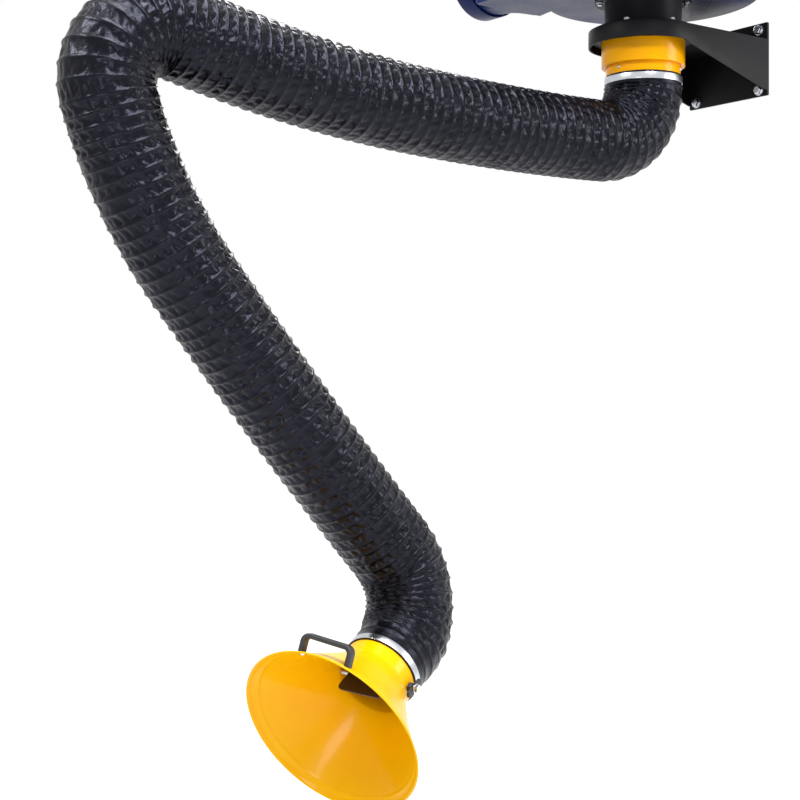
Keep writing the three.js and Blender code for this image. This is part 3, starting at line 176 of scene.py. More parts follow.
class NodeTree:
    """Adds and joins shader or geometry nodes in one tree."""

    def __init__(self, tree: bpy.types.NodeTree) -> None:
        """Keeps the tree that the nodes go into."""
        self.tree = tree

    def feed(self, socket: bpy.types.NodeSocket, value: object) -> None:
        """Links a socket to an input, or sets the input to a plain value.

        Args:
            socket: the input.
            value: an output to link, or a plain value.
        """
        if isinstance(value, bpy.types.NodeSocket):
            self.tree.links.new(value, socket)
        else:
            socket.default_value = value

    def put(self, node: bpy.types.Node, **values: object) -> bpy.types.Node:
        """Fills in a node.

        Args:
            node: the node.
            values: inputs by name for a capitalised key, node settings for the rest.

        Returns:
            The same node.
        """
        for key, value in values.items():
            if key[0].islower():
                setattr(node, key, value)
            else:
                self.feed(node.inputs[key.replace("_", " ")], value)
        return node

    def add(self, kind: str, **values: object) -> bpy.types.Node:
        """Adds one node of a bl_idname and fills it in."""
        return self.put(self.tree.nodes.new(kind), **values)

    def combine(self, operation: str, first: object, second: object) -> bpy.types.NodeSocket:
        """Adds a math node for two values.

        Args:
            operation: what the node does.
            first: its first value, plain or an output.
            second: its second value, plain or an output.

        Returns:
            The node's output.
        """
        node = self.add("ShaderNodeMath", operation=operation)
        self.feed(node.inputs[0], first)
        self.feed(node.inputs[1], second)
        return node.outputs["Value"]


def paint_material(finish: Finish) -> bpy.types.Material:
    """Makes a procedural material: drift of colour and gloss, and relief at the finish's scale.

    Args:
        finish: the finish to make.

    Returns:
        The material, named for what it is.
    """
    material = bpy.data.materials.get(finish.name)
    if material is not None:
        return material
    material = bpy.data.materials.new(finish.name)
    material.use_nodes = True
    nodes = NodeTree(material.node_tree)
    place = nodes.add("ShaderNodeTexCoord").outputs["Object"]
    mapped = nodes.add("ShaderNodeMapping", Vector=place, Scale=finish.grain.stretch)
    per_mm = 1.0 / (finish.grain_mm * MM)
    cloud = nodes.add("ShaderNodeTexNoise", Vector=place, Scale=CLOUD_SCALE,
                      Detail=CLOUD_DETAIL).outputs["Fac"]
    height = nodes.add("ShaderNodeTexNoise", Vector=mapped.outputs["Vector"], Scale=per_mm,
                       Detail=GRAIN_DETAIL).outputs["Fac"]
    colours = nodes.add("ShaderNodeValToRGB", Fac=cloud)
    codes = (finish.colour, finish.second)
    for stop, code, position in zip(colours.color_ramp.elements, codes, COLOUR_STOPS):
        stop.color = srgb(code)
        stop.position = position
    low, high = GLOSS_STOPS
    smooth, rough = finish.roughness
    gloss = nodes.add("ShaderNodeMapRange", Value=cloud, From_Min=low, From_Max=high,
                      To_Min=smooth, To_Max=rough)
    if finish.grain is Grain.WRINKLED:
        crumple = nodes.add("ShaderNodeTexVoronoi", Vector=place, Scale=per_mm * CRUMPLE_SHARE,
                            feature="DISTANCE_TO_EDGE")
        height = nodes.combine("ADD", height, crumple.outputs["Distance"])
    bump = nodes.add("ShaderNodeBump", Height=height, Distance=finish.relief_mm * MM,
                     Strength=RELIEF_STRENGTH)
    nodes.put(material.node_tree.nodes["Principled BSDF"], Base_Color=colours.outputs["Color"],
              Roughness=gloss.outputs["Result"], Normal=bump.outputs["Normal"],
              Metallic=finish.metallic, Specular_IOR_Level=finish.specular,
              Specular_Tint=srgb(finish.specular_tint), Coat_Weight=finish.coat,
              Coat_Roughness=finish.coat_roughness)
    return material


def frame_at(origin: Vector, z_axis: Vector, x_hint: Vector) -> Matrix:
    """Builds a placement matrix.

    Args:
        origin: the frame's origin.
        z_axis: direction of local Z.
        x_hint: direction that local X is nearest to.

    Returns:
        A 4 by 4 matrix.
    """
    z = z_axis.normalized()
    x = (x_hint - z * x_hint.dot(z)).normalized()
    y = z.cross(x)
    matrix = Matrix((x, y, z)).transposed().to_4x4()
    matrix.translation = origin
    return matrix


def around(count: int) -> np.ndarray:
    """Returns evenly spaced angles of one full turn."""
    return np.linspace(0, 2 * math.pi, count, endpoint=False)


def polar(radius: float, angle: float) -> Pair:
    """Returns X and Y of a point given by its radius and angle."""
    return (radius * math.cos(angle), radius * math.sin(angle))


def radial(angle: float) -> Vector:
    """Returns the level direction at an angle."""
    return Vector((math.cos(angle), math.sin(angle), 0))


@dataclass
class Shape:
    """Points in millimetres and faces, before they become a Blender mesh."""

    points: np.ndarray
    faces: list[Face]

    def moved(self, matrix: Matrix) -> "Shape":
        """Returns the shape placed by a matrix in millimetres."""
        turn = np.array(matrix.to_3x3())
        return Shape(self.points @ turn.T + np.array(matrix.translation), self.faces)

    def joined(self, *others: "Shape") -> "Shape":
        """Puts this shape and others together.

        Args:
            others: the shapes to add.

        Returns:
            The joined shape.
        """
        points = [self.points]
        faces = list(self.faces)
        count = len(self.points)
        for other in others:
            points.append(other.points)
            faces += [tuple(i + count for i in face) for face in other.faces]
            count += len(other.points)
        return Shape(np.concatenate(points), faces)


def rounded(profile: Outline, radius: float, steps: int = 3) -> list[Pair]:
    """Rounds the corners of a closed outline.

    Args:
        profile: the outline's corners.
        radius: how far from a corner the rounding starts, at most.
        steps: points on a rounded corner.

    Returns:
        The rounded outline.
    """
    longest = 0.45
    out: list[Pair] = []
    for i, here in enumerate(profile):
        corner = np.array(here, float)
        before = np.array(profile[i - 1], float) - corner
        after = np.array(profile[(i + 1) % len(profile)], float) - corner
        spans = (np.linalg.norm(before), np.linalg.norm(after))
        reach = min(radius, spans[0] * longest, spans[1] * longest)
        a = corner + before / spans[0] * reach
        b = corner + after / spans[1] * reach
        for k in range(steps + 1):
            t = k / steps
            point = (1 - t) ** 2 * a + 2 * t * (1 - t) * corner + t ** 2 * b
            out.append((float(point[0]), float(point[1])))
    return out


def rectangle(width: float, height: float, corner: float, steps: int) -> list[Pair]:
    """Returns a rectangle about the origin with rounded corners of so many steps."""
    x, y = width / 2, height / 2
    return rounded([(-x, -y), (x, -y), (x, y), (-x, y)], corner, steps)


def band(inner: float, outer: float, low: float, high: float) -> list[Pair]:
    """Returns the outline of a plain ring as corners of radius and height."""
    return [(inner, low), (outer, low), (outer, high), (inner, high)]


def turned(profile: Outline, segments: int = 128, soften: float = 0.8) -> Shape:
    """Turns a closed outline of radius and height about Z.

    Args:
        profile: corners as (radius, height), closed.
        segments: steps round the axis.
        soften: corner rounding in millimetres.

    Returns:
        A closed ring-shaped surface.
    """
    outline = np.array(rounded(profile, soften) if soften else profile)
    angle = around(segments)
    rings = np.stack([np.outer(np.cos(angle), outline[:, 0]),
                      np.outer(np.sin(angle), outline[:, 0]),
                      np.tile(outline[:, 1], (segments, 1))], axis=-1)
    count = len(outline)
    faces: list[Face] = []
    for i in range(segments):
        a, b = i * count, (i + 1) % segments * count
        faces += [(a + k, b + k, b + (k + 1) % count, a + (k + 1) % count) for k in range(count)]
    return Shape(rings.reshape(-1, 3), faces)


def disc_turned(profile: Outline, segments: int = 96, soften: float = 0.0) -> Shape:
    """Turns an open outline that starts and ends on the axis.

    Args:
        profile: points as (radius, height); the first and last radius are 0.
        segments: steps round the axis.
        soften: corner rounding of the points between, in millimetres.

    Returns:
        A closed solid of revolution.
    """
    inner = profile[1:-1]
    on_axis = 1e-6
    if soften:
        inner = [point for point in rounded(profile, soften) if point[0] > on_axis]
    points = [(0.0, 0.0, profile[0][1]), (0.0, 0.0, profile[-1][1])]
    count = len(inner)
    for turn in around(segments):
        points += [(*polar(r, turn), h) for r, h in inner]
    faces: list[Face] = []
    for i in range(segments):
        a = 2 + i * count
        b = 2 + (i + 1) % segments * count
        faces += [(0, b, a), (1, a + count - 1, b + count - 1)]
        faces += [(a + k, b + k, b + k + 1, a + k + 1) for k in range(count - 1)]
    return Shape(np.array(points, float), faces)


def ring_faces(rows: int, sides: int, closed: bool = False) -> list[Face]:
    """Joins rings of points that are listed one after another.

    Args:
        rows: number of rings.
        sides: number of points in a ring.
        closed: whether the last ring meets the first.

    Returns:
        Four-sided faces along and round the rings.
    """
    faces: list[Face] = []
    for row in range(rows if closed else rows - 1):
        a, b = row * sides, (row + 1) % rows * sides
        for i in range(sides):
            j = (i + 1) % sides
            faces.append((a + i, a + j, b + j, b + i))
    return faces


def end_faces(rows: int, sides: int) -> list[Face]:
    """Returns the faces that close the first and the last of some rings."""
    last = (rows - 1) * sides
    return [tuple(range(sides - 1, -1, -1)), tuple(range(last, last + sides))]


def prism(outline: Outline, low: float, high: float, crown: float = 1.0) -> Shape:
    """Raises a plain outline along Z.

    Args:
        outline: corners in X and Y.
        low: height of the bottom.
        high: height of the top.
        crown: size of the top as a share of the bottom.

    Returns:
        The closed prism.
    """
    count = len(outline)
    points = [(x * share, y * share, z) for z, share in ((low, 1.0), (high, crown))
              for x, y in outline]
    return Shape(np.array(points, float), end_faces(2, count) + ring_faces(2, count))


def pierced(outline: Outline, hole: float, low: float, high: float, steps: int = 96) -> Shape:
    """Raises an outline along Z, with a round hole about the Z axis.

    Args:
        outline: corners in X and Y.
        hole: radius of the hole.
        low: height of the bottom.
        high: height of the top.
        steps: number of points round the hole.

    Returns:
        The closed plate.
    """
    loops = [list(outline), [polar(hole, a) for a in around(steps)]]
    flat = [corner for loop in loops for corner in loop]
    count = len(flat)
    cuts = tessellate_polygon([[Vector((x, y, 0)) for x, y in loop] for loop in loops])
    faces: list[Face] = [tuple(i + lift for i in cut) for lift in (0, count) for cut in cuts]
    start = 0
    for loop in loops:
        ring = [start + i for i in range(len(loop))]
        faces += [(a, b, b + count, a + count) for a, b in zip(ring, ring[1:] + ring[:1])]
        start += len(loop)
    return Shape(np.array([(x, y, z) for z in (low, high) for x, y in flat], float), faces)


def bent_strip(rows: Sequence[np.ndarray]) -> Shape:
    """Joins rings of points into a solid strip that is closed at both ends."""
    size = (len(rows), len(rows[0]))
    return Shape(np.concatenate(rows), ring_faces(*size) + end_faces(*size))


def tube_of_rings(outer: Sequence[np.ndarray], inner: Sequence[np.ndarray]) -> Shape:
    """Closes outer and inner rows of rings into one hollow body.

    Args:
        outer: rings of equal point count along the outside.
        inner: rings along the inside, in the same direction.

    Returns:
        The hollow body.
    """
    rows = [*outer, *reversed(inner)]
    return Shape(np.concatenate(rows), ring_faces(len(rows), len(rows[0]), closed=True))


def link_object(name: str, data: bpy.types.ID) -> bpy.types.Object:
    """Makes an object from its data and puts it in the scene.

    Args:
        name: the object's name.
        data: its mesh, light or camera.

    Returns:
        The object.
    """
    made = bpy.data.objects.new(name, data)
    bpy.context.scene.collection.objects.link(made)
    return made


def make_piece(name: str, shape: Shape, finish: Finish, bevel: float = 0.0,
               sharp: float = 40.0) -> bpy.types.Object:
    """Makes a Blender object at the origin from a shape in millimetres.

    Args:
        name: the object's name.
        shape: points in row-frame millimetres, and faces.
        finish: what it is made of.
        bevel: edge rounding in millimetres.
        sharp: edges above this angle, in degrees, shade sharp.

    Returns:
        The object, with smooth shading and outward faces.
    """
    limit = math.radians(sharp)
    mesh = bpy.data.meshes.new(name)
    mesh.from_pydata((shape.points * MM).tolist(), [], shape.faces)
    work = bmesh.new()
    work.from_mesh(mesh)
    bmesh.ops.remove_doubles(work, verts=work.verts, dist=MERGE_DISTANCE)
    bmesh.ops.recalc_face_normals(work, faces=work.faces)
    if bevel:
        edges = [edge for edge in work.edges
                 if len(edge.link_faces) == 2 and edge.calc_face_angle(0) > limit]
        bmesh.ops.bevel(work, geom=edges, offset=bevel * MM, segments=3, profile=0.5,
                        affect="EDGES", clamp_overlap=True)
    work.to_mesh(mesh)
    work.free()
    mesh.polygons.foreach_set("use_smooth", [True] * len(mesh.polygons))
    mesh.set_sharp_from_angle(angle=limit)
    piece = link_object(name, mesh)
    mesh.materials.append(paint_material(finish))
    return piece


def stand_for(piece: bpy.types.Object, body: str, *nodes: str) -> bpy.types.Object:
    """Lets a piece ride on a body in place of CAD nodes.

    Args:
        piece: the new piece.
        body: the body it moves with.
        nodes: the CAD nodes it stands for.

    Returns:
        The piece.
    """
    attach(piece, body)
    if nodes:
        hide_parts(*nodes)
    return piece


def dress(node: str, body: str, name: str, shape: Shape, finish: Finish,
          **edges: float) -> bpy.types.Object:
    """Makes a piece that stands for one CAD node.

    Args:
        node: the CAD node.
        body: the body the piece moves with.
        name: the piece's name.
        shape: points in row-frame millimetres, and faces.
        finish: what it is made of.
        edges: bevel and sharp, as make_piece takes them.

    Returns:
        The piece.
    """
    return stand_for(make_piece(name, shape, finish, **edges), body, node)


@dataclass(frozen=True)
class FastenerSet:
    """Identical fasteners set out by Geometry Nodes; the shape is seated at the origin, along Z."""

    name: str
    shape: Shape
    finish: Finish

    def layout(self) -> bpy.types.NodeTree:
        """Makes the node group that sets a pattern object on points along their directions.

        Returns:
            The group, with inputs for the points, the pattern and the finish.
        """
        tree = bpy.data.node_groups.new(f"{self.name}_layout", "GeometryNodeTree")
        for name, kind in (("Geometry", "Geometry"), ("Pattern", "Object"), ("Finish", "Material")):
            tree.interface.new_socket(name, in_out="INPUT", socket_type=f"NodeSocket{kind}")
        tree.interface.new_socket("Geometry", in_out="OUTPUT", socket_type="NodeSocketGeometry")
        nodes = NodeTree(tree)
        given = nodes.add("NodeGroupInput").outputs
        direction = nodes.add("GeometryNodeInputNamedAttribute", data_type="FLOAT_VECTOR",
                              Name="outward")
        turn = nodes.add("FunctionNodeAlignRotationToVector", axis="Z",
                         Vector=direction.outputs["Attribute"])
        info = nodes.add("GeometryNodeObjectInfo", Object=given["Pattern"])
        spread = nodes.add("GeometryNodeInstanceOnPoints", Points=given["Geometry"],
                           Instance=info.outputs["Geometry"], Rotation=turn.outputs["Rotation"])
        real = nodes.add("GeometryNodeRealizeInstances", Geometry=spread.outputs["Instances"])
        coloured = nodes.add("GeometryNodeSetMaterial", Geometry=real.outputs["Geometry"],
                             Material=given["Finish"])
        nodes.add("NodeGroupOutput", Geometry=coloured.outputs["Geometry"])
        return tree

    def scatter(self, places: Iterable[tuple[Vector, Vector]], body: str,
                *nodes: str) -> bpy.types.Object:
        """Sets one fastener at each place.

        Args:
            places: seat and outward direction of each, in row-frame millimetres.
            body: the body they move with.
            nodes: the CAD nodes they stand for.

        Returns:
            One piece holding all of them.
        """
        places = list(places)
        source = make_piece(f"{self.name}_pattern", self.shape, self.finish, sharp=30)
        mesh = bpy.data.meshes.new(self.name)
        mesh.from_pydata([tuple(seat * MM) for seat, _ in places], [], [])
        out = mesh.attributes.new("outward", "FLOAT_VECTOR", "POINT")
        out.data.foreach_set("vector", [c for _, way in places for c in way.normalized()])
        piece = link_object(self.name, mesh)
        layout = piece.modifiers.new("layout", "NODES")
        layout.node_group = self.layout()
        given = {item.name: item.identifier for item in layout.node_group.interface.items_tree
                 if item.in_out == "INPUT"}
        layout[given["Pattern"]] = source
        layout[given["Finish"]] = paint_material(self.finish)
        bpy.context.view_layer.update()
        evaluated = piece.evaluated_get(bpy.context.evaluated_depsgraph_get())
        settled = bpy.data.meshes.new_from_object(evaluated)
        piece.modifiers.remove(layout)
        piece.data = settled
        bpy.data.objects.remove(source)
        return stand_for(piece, body, *nodes)


def hex_bolt(radius: float, height: float, washer: float) -> Shape:
    """Makes a hex head with its washer, seated on Z = 0.

    Args:
        radius: corner radius of the head.
        height: height of the head.
        washer: radius of the washer.

    Returns:
        The shape in millimetres.
    """
    thick, chamfer, crown = 1.6, 0.8, 0.86
    plate = disc_turned(band(0, washer, 0, thick), segments=40, soften=0.4)
    sides = [polar(radius, math.pi * k / 3) for k in range(6)]
    shoulder = height - chamfer
    return plate.joined(prism(sides, thick, shoulder), prism(sides, shoulder, height, crown))


def round_screw(radius: float, height: float) -> Shape:
    """Makes a domed screw head with a round socket, seated on Z = 0.

    Args:
        radius: radius of the head.
        height: height of the dome.

    Returns:
        The shape in millimetres.
    """
    socket, dome_turn = radius * 0.42, 1.1
    brim, bottom = height * 0.92, height * 0.35
    dome = [(radius * math.cos(a), height * math.sin(a)) for a in np.linspace(0, dome_turn, 6)]
    hollow = [(socket, brim), (socket * 0.9, bottom), (0, bottom)]
    return disc_turned([(0, 0), (radius, 0)] + dome + hollow, segments=28)


@dataclass
class OnAxis:
    """Anything that is set out from the vertical axis in front of the wall."""

    axis_reach: float = 271.0

    def at_axis(self, height: float = 0.0) -> Matrix:
        """Returns the placement on the axis at a height."""
        return Matrix.Translation((0, -self.axis_reach, height))


@dataclass(frozen=True)
class Run:
    """One stretch of the hose's centre line with constant curvature."""

    point: Vector
    heading: Vector
    axis: Vector
    length: float
    turn: float
    start: float

    def at(self, distance: float) -> tuple[Vector, Vector]:
        """Follows the run for a distance.

        Args:
            distance: how far along the run.

        Returns:
            The point and the heading there.
        """
        if self.turn == 0:
            return self.point + self.heading * distance, self.heading
        inward = self.axis.cross(self.heading)
        angle = self.turn * distance / self.length
        radius = self.length / self.turn
        ahead = self.heading * (radius * math.sin(angle))
        point = self.point + ahead + inward * (radius * (1 - math.cos(angle)))
        return point, self.heading * math.cos(angle) + inward * math.sin(angle)


@dataclass
class HoseRoute(OnAxis):
    """The hose's centre line, in row-frame millimetres, from the collar down to the hood.

    A bend is its radius and its turn in degrees; any other run is its length and its turn.
    """

    top: float = -55.0
    cuff: float = 24.5
    shoulder: Pair = (124.5, 88.8)
    upper_near: Pair = (503.5, 4.9)
    upper_far: Pair = (515.7, 10.0)
    elbow: Pair = (103.1, 121.4)
    lower_near: Pair = (339.6, 21.5)
    lower_far: Pair = (648.4, 3.6)
    wrist: Pair = (126.6, 100.9)
    wrist_roll: float = -16.4
    neck: float = 48.9
    runs: list[Run] = field(default_factory=list)

    def __post_init__(self) -> None:
        """Lays the runs end to end."""
        self.point = Vector((0, -self.axis_reach, self.top))
        self.heading = -Z_AXIS
        self.length = 0.0
        up = -X_AXIS
        down = X_AXIS
        self.add(self.cuff, 0.0, up)
        self.shoulder_run = self.bend(self.shoulder, up)
        self.add(*self.upper_near, up)
        self.add(*self.upper_far, up)
        self.elbow_run = self.bend(self.elbow, down)
        self.add(*self.lower_near, down)
        self.add(*self.lower_far, down)
        roll = Matrix.Rotation(math.radians(self.wrist_roll), 3, self.heading)
        self.tilt_axis = roll @ up
        self.wrist_run = self.bend(self.wrist, self.tilt_axis)
        self.add(self.neck, 0.0, self.tilt_axis)

    def add(self, length: float, turn: float, axis: Vector) -> Run:
        """Adds a run of a length that turns by some degrees about an axis.

        Args:
            length: length of the run.
            turn: how far it turns, in degrees.
            axis: what it turns about.

        Returns:
            The run.
        """
        run = Run(self.point, self.heading, axis, length, math.radians(turn), self.length)
        self.runs.append(run)
        self.length += length
        self.point, self.heading = run.at(length)
        return run

    def bend(self, size: Pair, axis: Vector) -> Run:
        """Adds a bend given as its radius and its turn in degrees."""
        radius, turn = size
        return self.add(radius * math.radians(turn), turn, axis)

    def at(self, distance: float) -> tuple[Vector, Vector, Vector]:
        """Follows the whole route for a distance.

        Args:
            distance: how far along the route.

        Returns:
            The point, the heading and the side direction there.
        """
        run = next((one for one in self.runs if distance <= one.start + one.length), self.runs[-1])
        point, heading = run.at(distance - run.start)
        side = run.axis if run.axis.x > 0 else -run.axis
        return point, heading, side


@dataclass(frozen=True)
class HosePart:
    """One length of hose, given by the places of its wire turns along the route."""

    node: str
    turns: np.ndarray
    bodies: tuple[str, ...]
    neck_ribs: float = 0.0

    @property
    def start(self) -> float:
        """Where the length begins along the route."""
        return float(self.turns[0])

    @property
    def end(self) -> float:
        """Where the length ends along the route."""
        return float(self.turns[-1])


@dataclass
class Hose:
    """The ribbed hose: coated cloth hung between the turns of a wire.

    A slack is how many turns of wire a bend borrows from the straight run beside it. A neck share
    is how much of a measure is lost where the hose is drawn in to the hood.
    """

    route: HoseRoute
    crest: float = 84.5
    sag: float = 4.6
    bore: float = 79.2
    crumple: float = 5.2
    pitch: float = 24.0
    bend_pitch: float = 20.5
    sides: int = 192
    steps: int = 10
    neck_crest: float = 78.6
    lead: float = 100.0
    shoulder_slack: int = 6
    elbow_slack: tuple[int, int] = (8, 13)
    roll_slack: int = 3
    wrist_slack: int = 2
    roll_run: float = 80.0
    seam: float = 0.15
    belly_power: float = 0.55
    fold_lift: float = 0.45
    deepest: float = 2.2
    lining: float = 4.0
    neck_lining: float = 6.0
    neck_sag_share: float = 0.8
    neck_fold_share: float = 0.5
    crease_seed: int = 811
    crease_waves: tuple[tuple[int, int], ...] = ((14, 1), (19, -1), (27, 1))
    crease_slant: Pair = (3.0, 5.5)
    crease_swell: Pair = (0.6, 0.4)
    crease_lobes: tuple[int, int] = (1, 4)
    crease_power: float = 1.3
    crease_full: float = 1.8

    def wire(self, start: float, end: float, pitch: float) -> np.ndarray:
        """Spreads turns of wire evenly over a stretch of the route."""
        count = max(1, round((end - start - 2 * self.seam) / pitch))
        return np.linspace(start, end, count + 1)

    def parts(self) -> list[HosePart]:
        """Lists the lengths of hose in the order that they follow from the collar.

        A bend takes some turns of the straight runs next to it as slack.

        Returns:
            The lengths of hose.
        """
        r = self.route
        shoulder_end = r.shoulder_run.start + r.shoulder_run.length + self.lead
        elbow_start = r.elbow_run.start - self.lead
        elbow_end = r.elbow_run.start + r.elbow_run.length + self.lead
        roll_end = r.wrist_run.start
        roll_start = roll_end - self.roll_run
        wrist_end = roll_end + r.wrist_run.length
        shoulder = self.wire(r.shoulder_run.start, shoulder_end, self.bend_pitch)
        upper = self.wire(shoulder_end, elbow_start, self.pitch)
        elbow = self.wire(elbow_start, elbow_end, self.bend_pitch)
        lower = self.wire(elbow_end, roll_start, self.pitch)
        roll = self.wire(roll_start, roll_end, self.bend_pitch)
        wrist = self.wire(roll_end, wrist_end, self.bend_pitch)
        near, (before, after) = self.shoulder_slack, self.elbow_slack
        far = len(upper) - 1 - before
        low = len(lower) - 1 - self.roll_slack
        last = len(roll) - 1 - self.wrist_slack
        join = np.concatenate
        return [
            HosePart("hose_shoulder", join([shoulder, upper[1:near + 1]]), ("swivel", "upper_arm")),
            HosePart("hose_upper", upper[near:far + 1], ("upper_arm",)),
            HosePart("hose_elbow", join([upper[far:-1], elbow, lower[1:after + 1]]),
                     ("upper_arm", "forearm")),
            HosePart("hose_lower", lower[after:low + 1], ("forearm",)),
            HosePart("hose_roll", join([lower[low:-1], roll[:last + 1]]), ("forearm", "wrist")),
            HosePart("hose_wrist", join([roll[last:-1], wrist]), ("wrist", "hood"), neck_ribs=2.0),
        ]

    def crease(self, cell: int, across: float, angle: np.ndarray) -> np.ndarray:
        """Depth of the slanting creases in one turn of cloth.

        Args:
            cell: number of the turn, which seeds its creases.
            across: place between two turns of wire, from 0 to 1.
            angle: angles round the hose.

        Returns:
            Depth, mostly from 0 to 1, at each angle.
        """
        random = np.random.default_rng(self.crease_seed + cell)
        depth = np.zeros_like(angle)
        middle, swing = self.crease_swell
        for count, lean in self.crease_waves:
            slant = lean * random.uniform(*self.crease_slant)
            phase = random.uniform(0, 2 * math.pi)
            lobes = random.integers(*self.crease_lobes)
            swell = middle + swing * np.sin(angle * lobes + random.uniform(0, 2 * math.pi))
            ridge = 1 - np.abs(np.sin(0.5 * (count * angle + slant * across + phase)))
            depth += swell * ridge ** self.crease_power
        return depth / self.crease_full

    def ring(self, distance: float, radius: np.ndarray, angle: np.ndarray) -> np.ndarray:
        """Places one ring of the hose.

        Args:
            distance: place along the route.
            radius: radius at each angle.
            angle: angles round the hose.

        Returns:
            One row per angle.
        """
        point, heading, side = self.route.at(distance)
        up = np.array(heading.cross(side))
        out = np.outer(np.cos(angle), np.array(side)) + np.outer(np.sin(angle), up)
        return np.array(point) + out * radius[:, None]

    def shape(self, part: HosePart) -> Shape:
        """Builds one length of hose.

        Args:
            part: which length.

        Returns:
            A hollow body with wire ridges, sagging cloth and creases.
        """
        places = part.turns.copy()
        places[0] += self.seam
        places[-1] -= self.seam
        turns = len(places) - 1
        angle = around(self.sides)
        first = round(part.start / self.pitch)
        outer = []
        inner = []
        for step in range(turns * self.steps + 1):
            along = step / self.steps
            cell = min(int(along), turns - 1)
            across = along - cell
            place = places[cell] + (places[cell + 1] - places[cell]) * across
            hang = math.sin(math.pi * across)
            neck = max(0.0, 1 - (turns - along) / part.neck_ribs) if part.neck_ribs else 0.0
            crest = self.crest - (self.crest - self.neck_crest) * neck
            sag = self.sag * (1 - self.neck_sag_share * neck)
            folds = self.crease(first + cell, across, angle) * hang - self.fold_lift * hang
            fold_depth = self.crumple * folds * (1 - self.neck_fold_share * neck)
            radius = crest - sag * hang ** self.belly_power - fold_depth
            outer.append(self.ring(place, np.clip(radius, self.bore - self.deepest, crest), angle))
            if step % self.steps == 0:
                inside = self.bore - self.lining - self.neck_lining * neck
                inner.append(self.ring(place, np.full_like(angle, inside), angle))
        return tube_of_rings(outer, inner)

    def hold(self, piece: bpy.types.Object, part: HosePart) -> None:
        """Makes a length of hose follow its body; a length that spans two bodies stays where it is
        made.

        Args:
            piece: the length's mesh object.
            part: which length it is.
        """
        if len(part.bodies) == 1:
            stand_for(piece, part.bodies[0], part.node)
            return
        first, first_way, _ = self.route.at(part.start)
        last, last_way, _ = self.route.at(part.end)
        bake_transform(piece)
        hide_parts(part.node)

    def build(self) -> list[bpy.types.Object]:
        """Makes every length of the hose.

        Returns:
            The pieces made.
        """
        pieces = []
        for part in self.parts():
            piece = make_piece(f"{part.node}_cloth", self.shape(part), VINYL, sharp=180)
            self.hold(piece, part)
            pieces.append(piece)
        return pieces


@dataclass
class Bracket(OnAxis):
    """Wall plate, bent skirt and deck."""

    plate: Triple = (230.0, 6.0, 160.0)
    plate_corner: float = 3.0
    bolt: Triple = (9.8, 9.0, 12.0)
    bolt_inset: Pair = (23.0, 14.0)
    radius: float = 117.0
    sheet: float = 4.0
    depth: float = 34.0
    gusset: float = 113.0
    deck_top: float = 42.0
    deck_thick: float = 5.0
    deck_hole: float = 79.0
    gap: float = 0.3

    @property
    def back(self) -> float:
        """How far behind the axis the bent sheets end."""
        return self.axis_reach - self.plate[1] - self.gap

    def outline(self, radius: float, steps: int = 64) -> list[Pair]:
        """Plan outline of the bracket at a radius, open towards the wall."""
        arc = [polar(radius, a) for a in np.linspace(0, -math.pi, steps)]
        return [(radius, self.back)] + arc + [(-radius, self.back)]

    def skirt(self) -> Shape:
        """The bent strip with its two sloping cheeks.

        Returns:
            The strip about the axis.
        """
        top = self.deck_top
        low = top - self.depth
        cheek = top - self.gusset

        def bottom(y: float) -> float:
            """Height of the strip's lower edge."""
            return low if y <= 0 else low + (cheek - low) * y / self.back

        edges = zip(self.outline(self.radius), self.outline(self.radius - self.sheet))
        return bent_strip([np.array([(*o, bottom(o[1])), (*o, top), (*i, top), (*i, bottom(i[1]))])
                           for o, i in edges])

    def build(self) -> list[bpy.types.Object]:
        """Makes the bracket's pieces and its wall bolts.

        Returns:
            The pieces made.
        """
        skirt = self.skirt().moved(self.at_axis())
        width, thick, height = self.plate
        to_room = Matrix.Rotation(math.pi / 2, 4, "X")
        corners = rectangle(width, height, self.plate_corner, steps=4)
        plate = prism(corners, 0, thick).moved(to_room)
        plan = self.outline(self.radius - self.sheet - self.gap)
        deck = pierced(plan, self.deck_hole, self.deck_top - self.deck_thick, self.deck_top)
        pieces = [
            dress("bracket_skirt", "bracket", "bracket_strip", skirt, CHARCOAL, bevel=0.9,
                  sharp=25),
            dress("wall_plate", "bracket", "wall_plate_sheet", plate, CHARCOAL, bevel=0.7),
            dress("bracket_deck", "bracket", "bracket_deck_sheet", deck.moved(self.at_axis()),
                  CHARCOAL),
        ]
        reach_x = width / 2 - self.bolt_inset[0]
        reach_z = height / 2 - self.bolt_inset[1]
        seats = [(Vector((x * reach_x, -thick - self.gap, z * reach_z)), Vector((0, -1, 0)))
                 for z in (1, -1) for x in (1, -1)]
        bolts = FastenerSet("wall_bolt_heads", hex_bolt(*self.bolt), ZINC)
        pieces.append(bolts.scatter(seats, "bracket", "wall_bolt_1", "wall_bolt_2", "wall_bolt_3",
                                    "wall_bolt_4"))
        return pieces


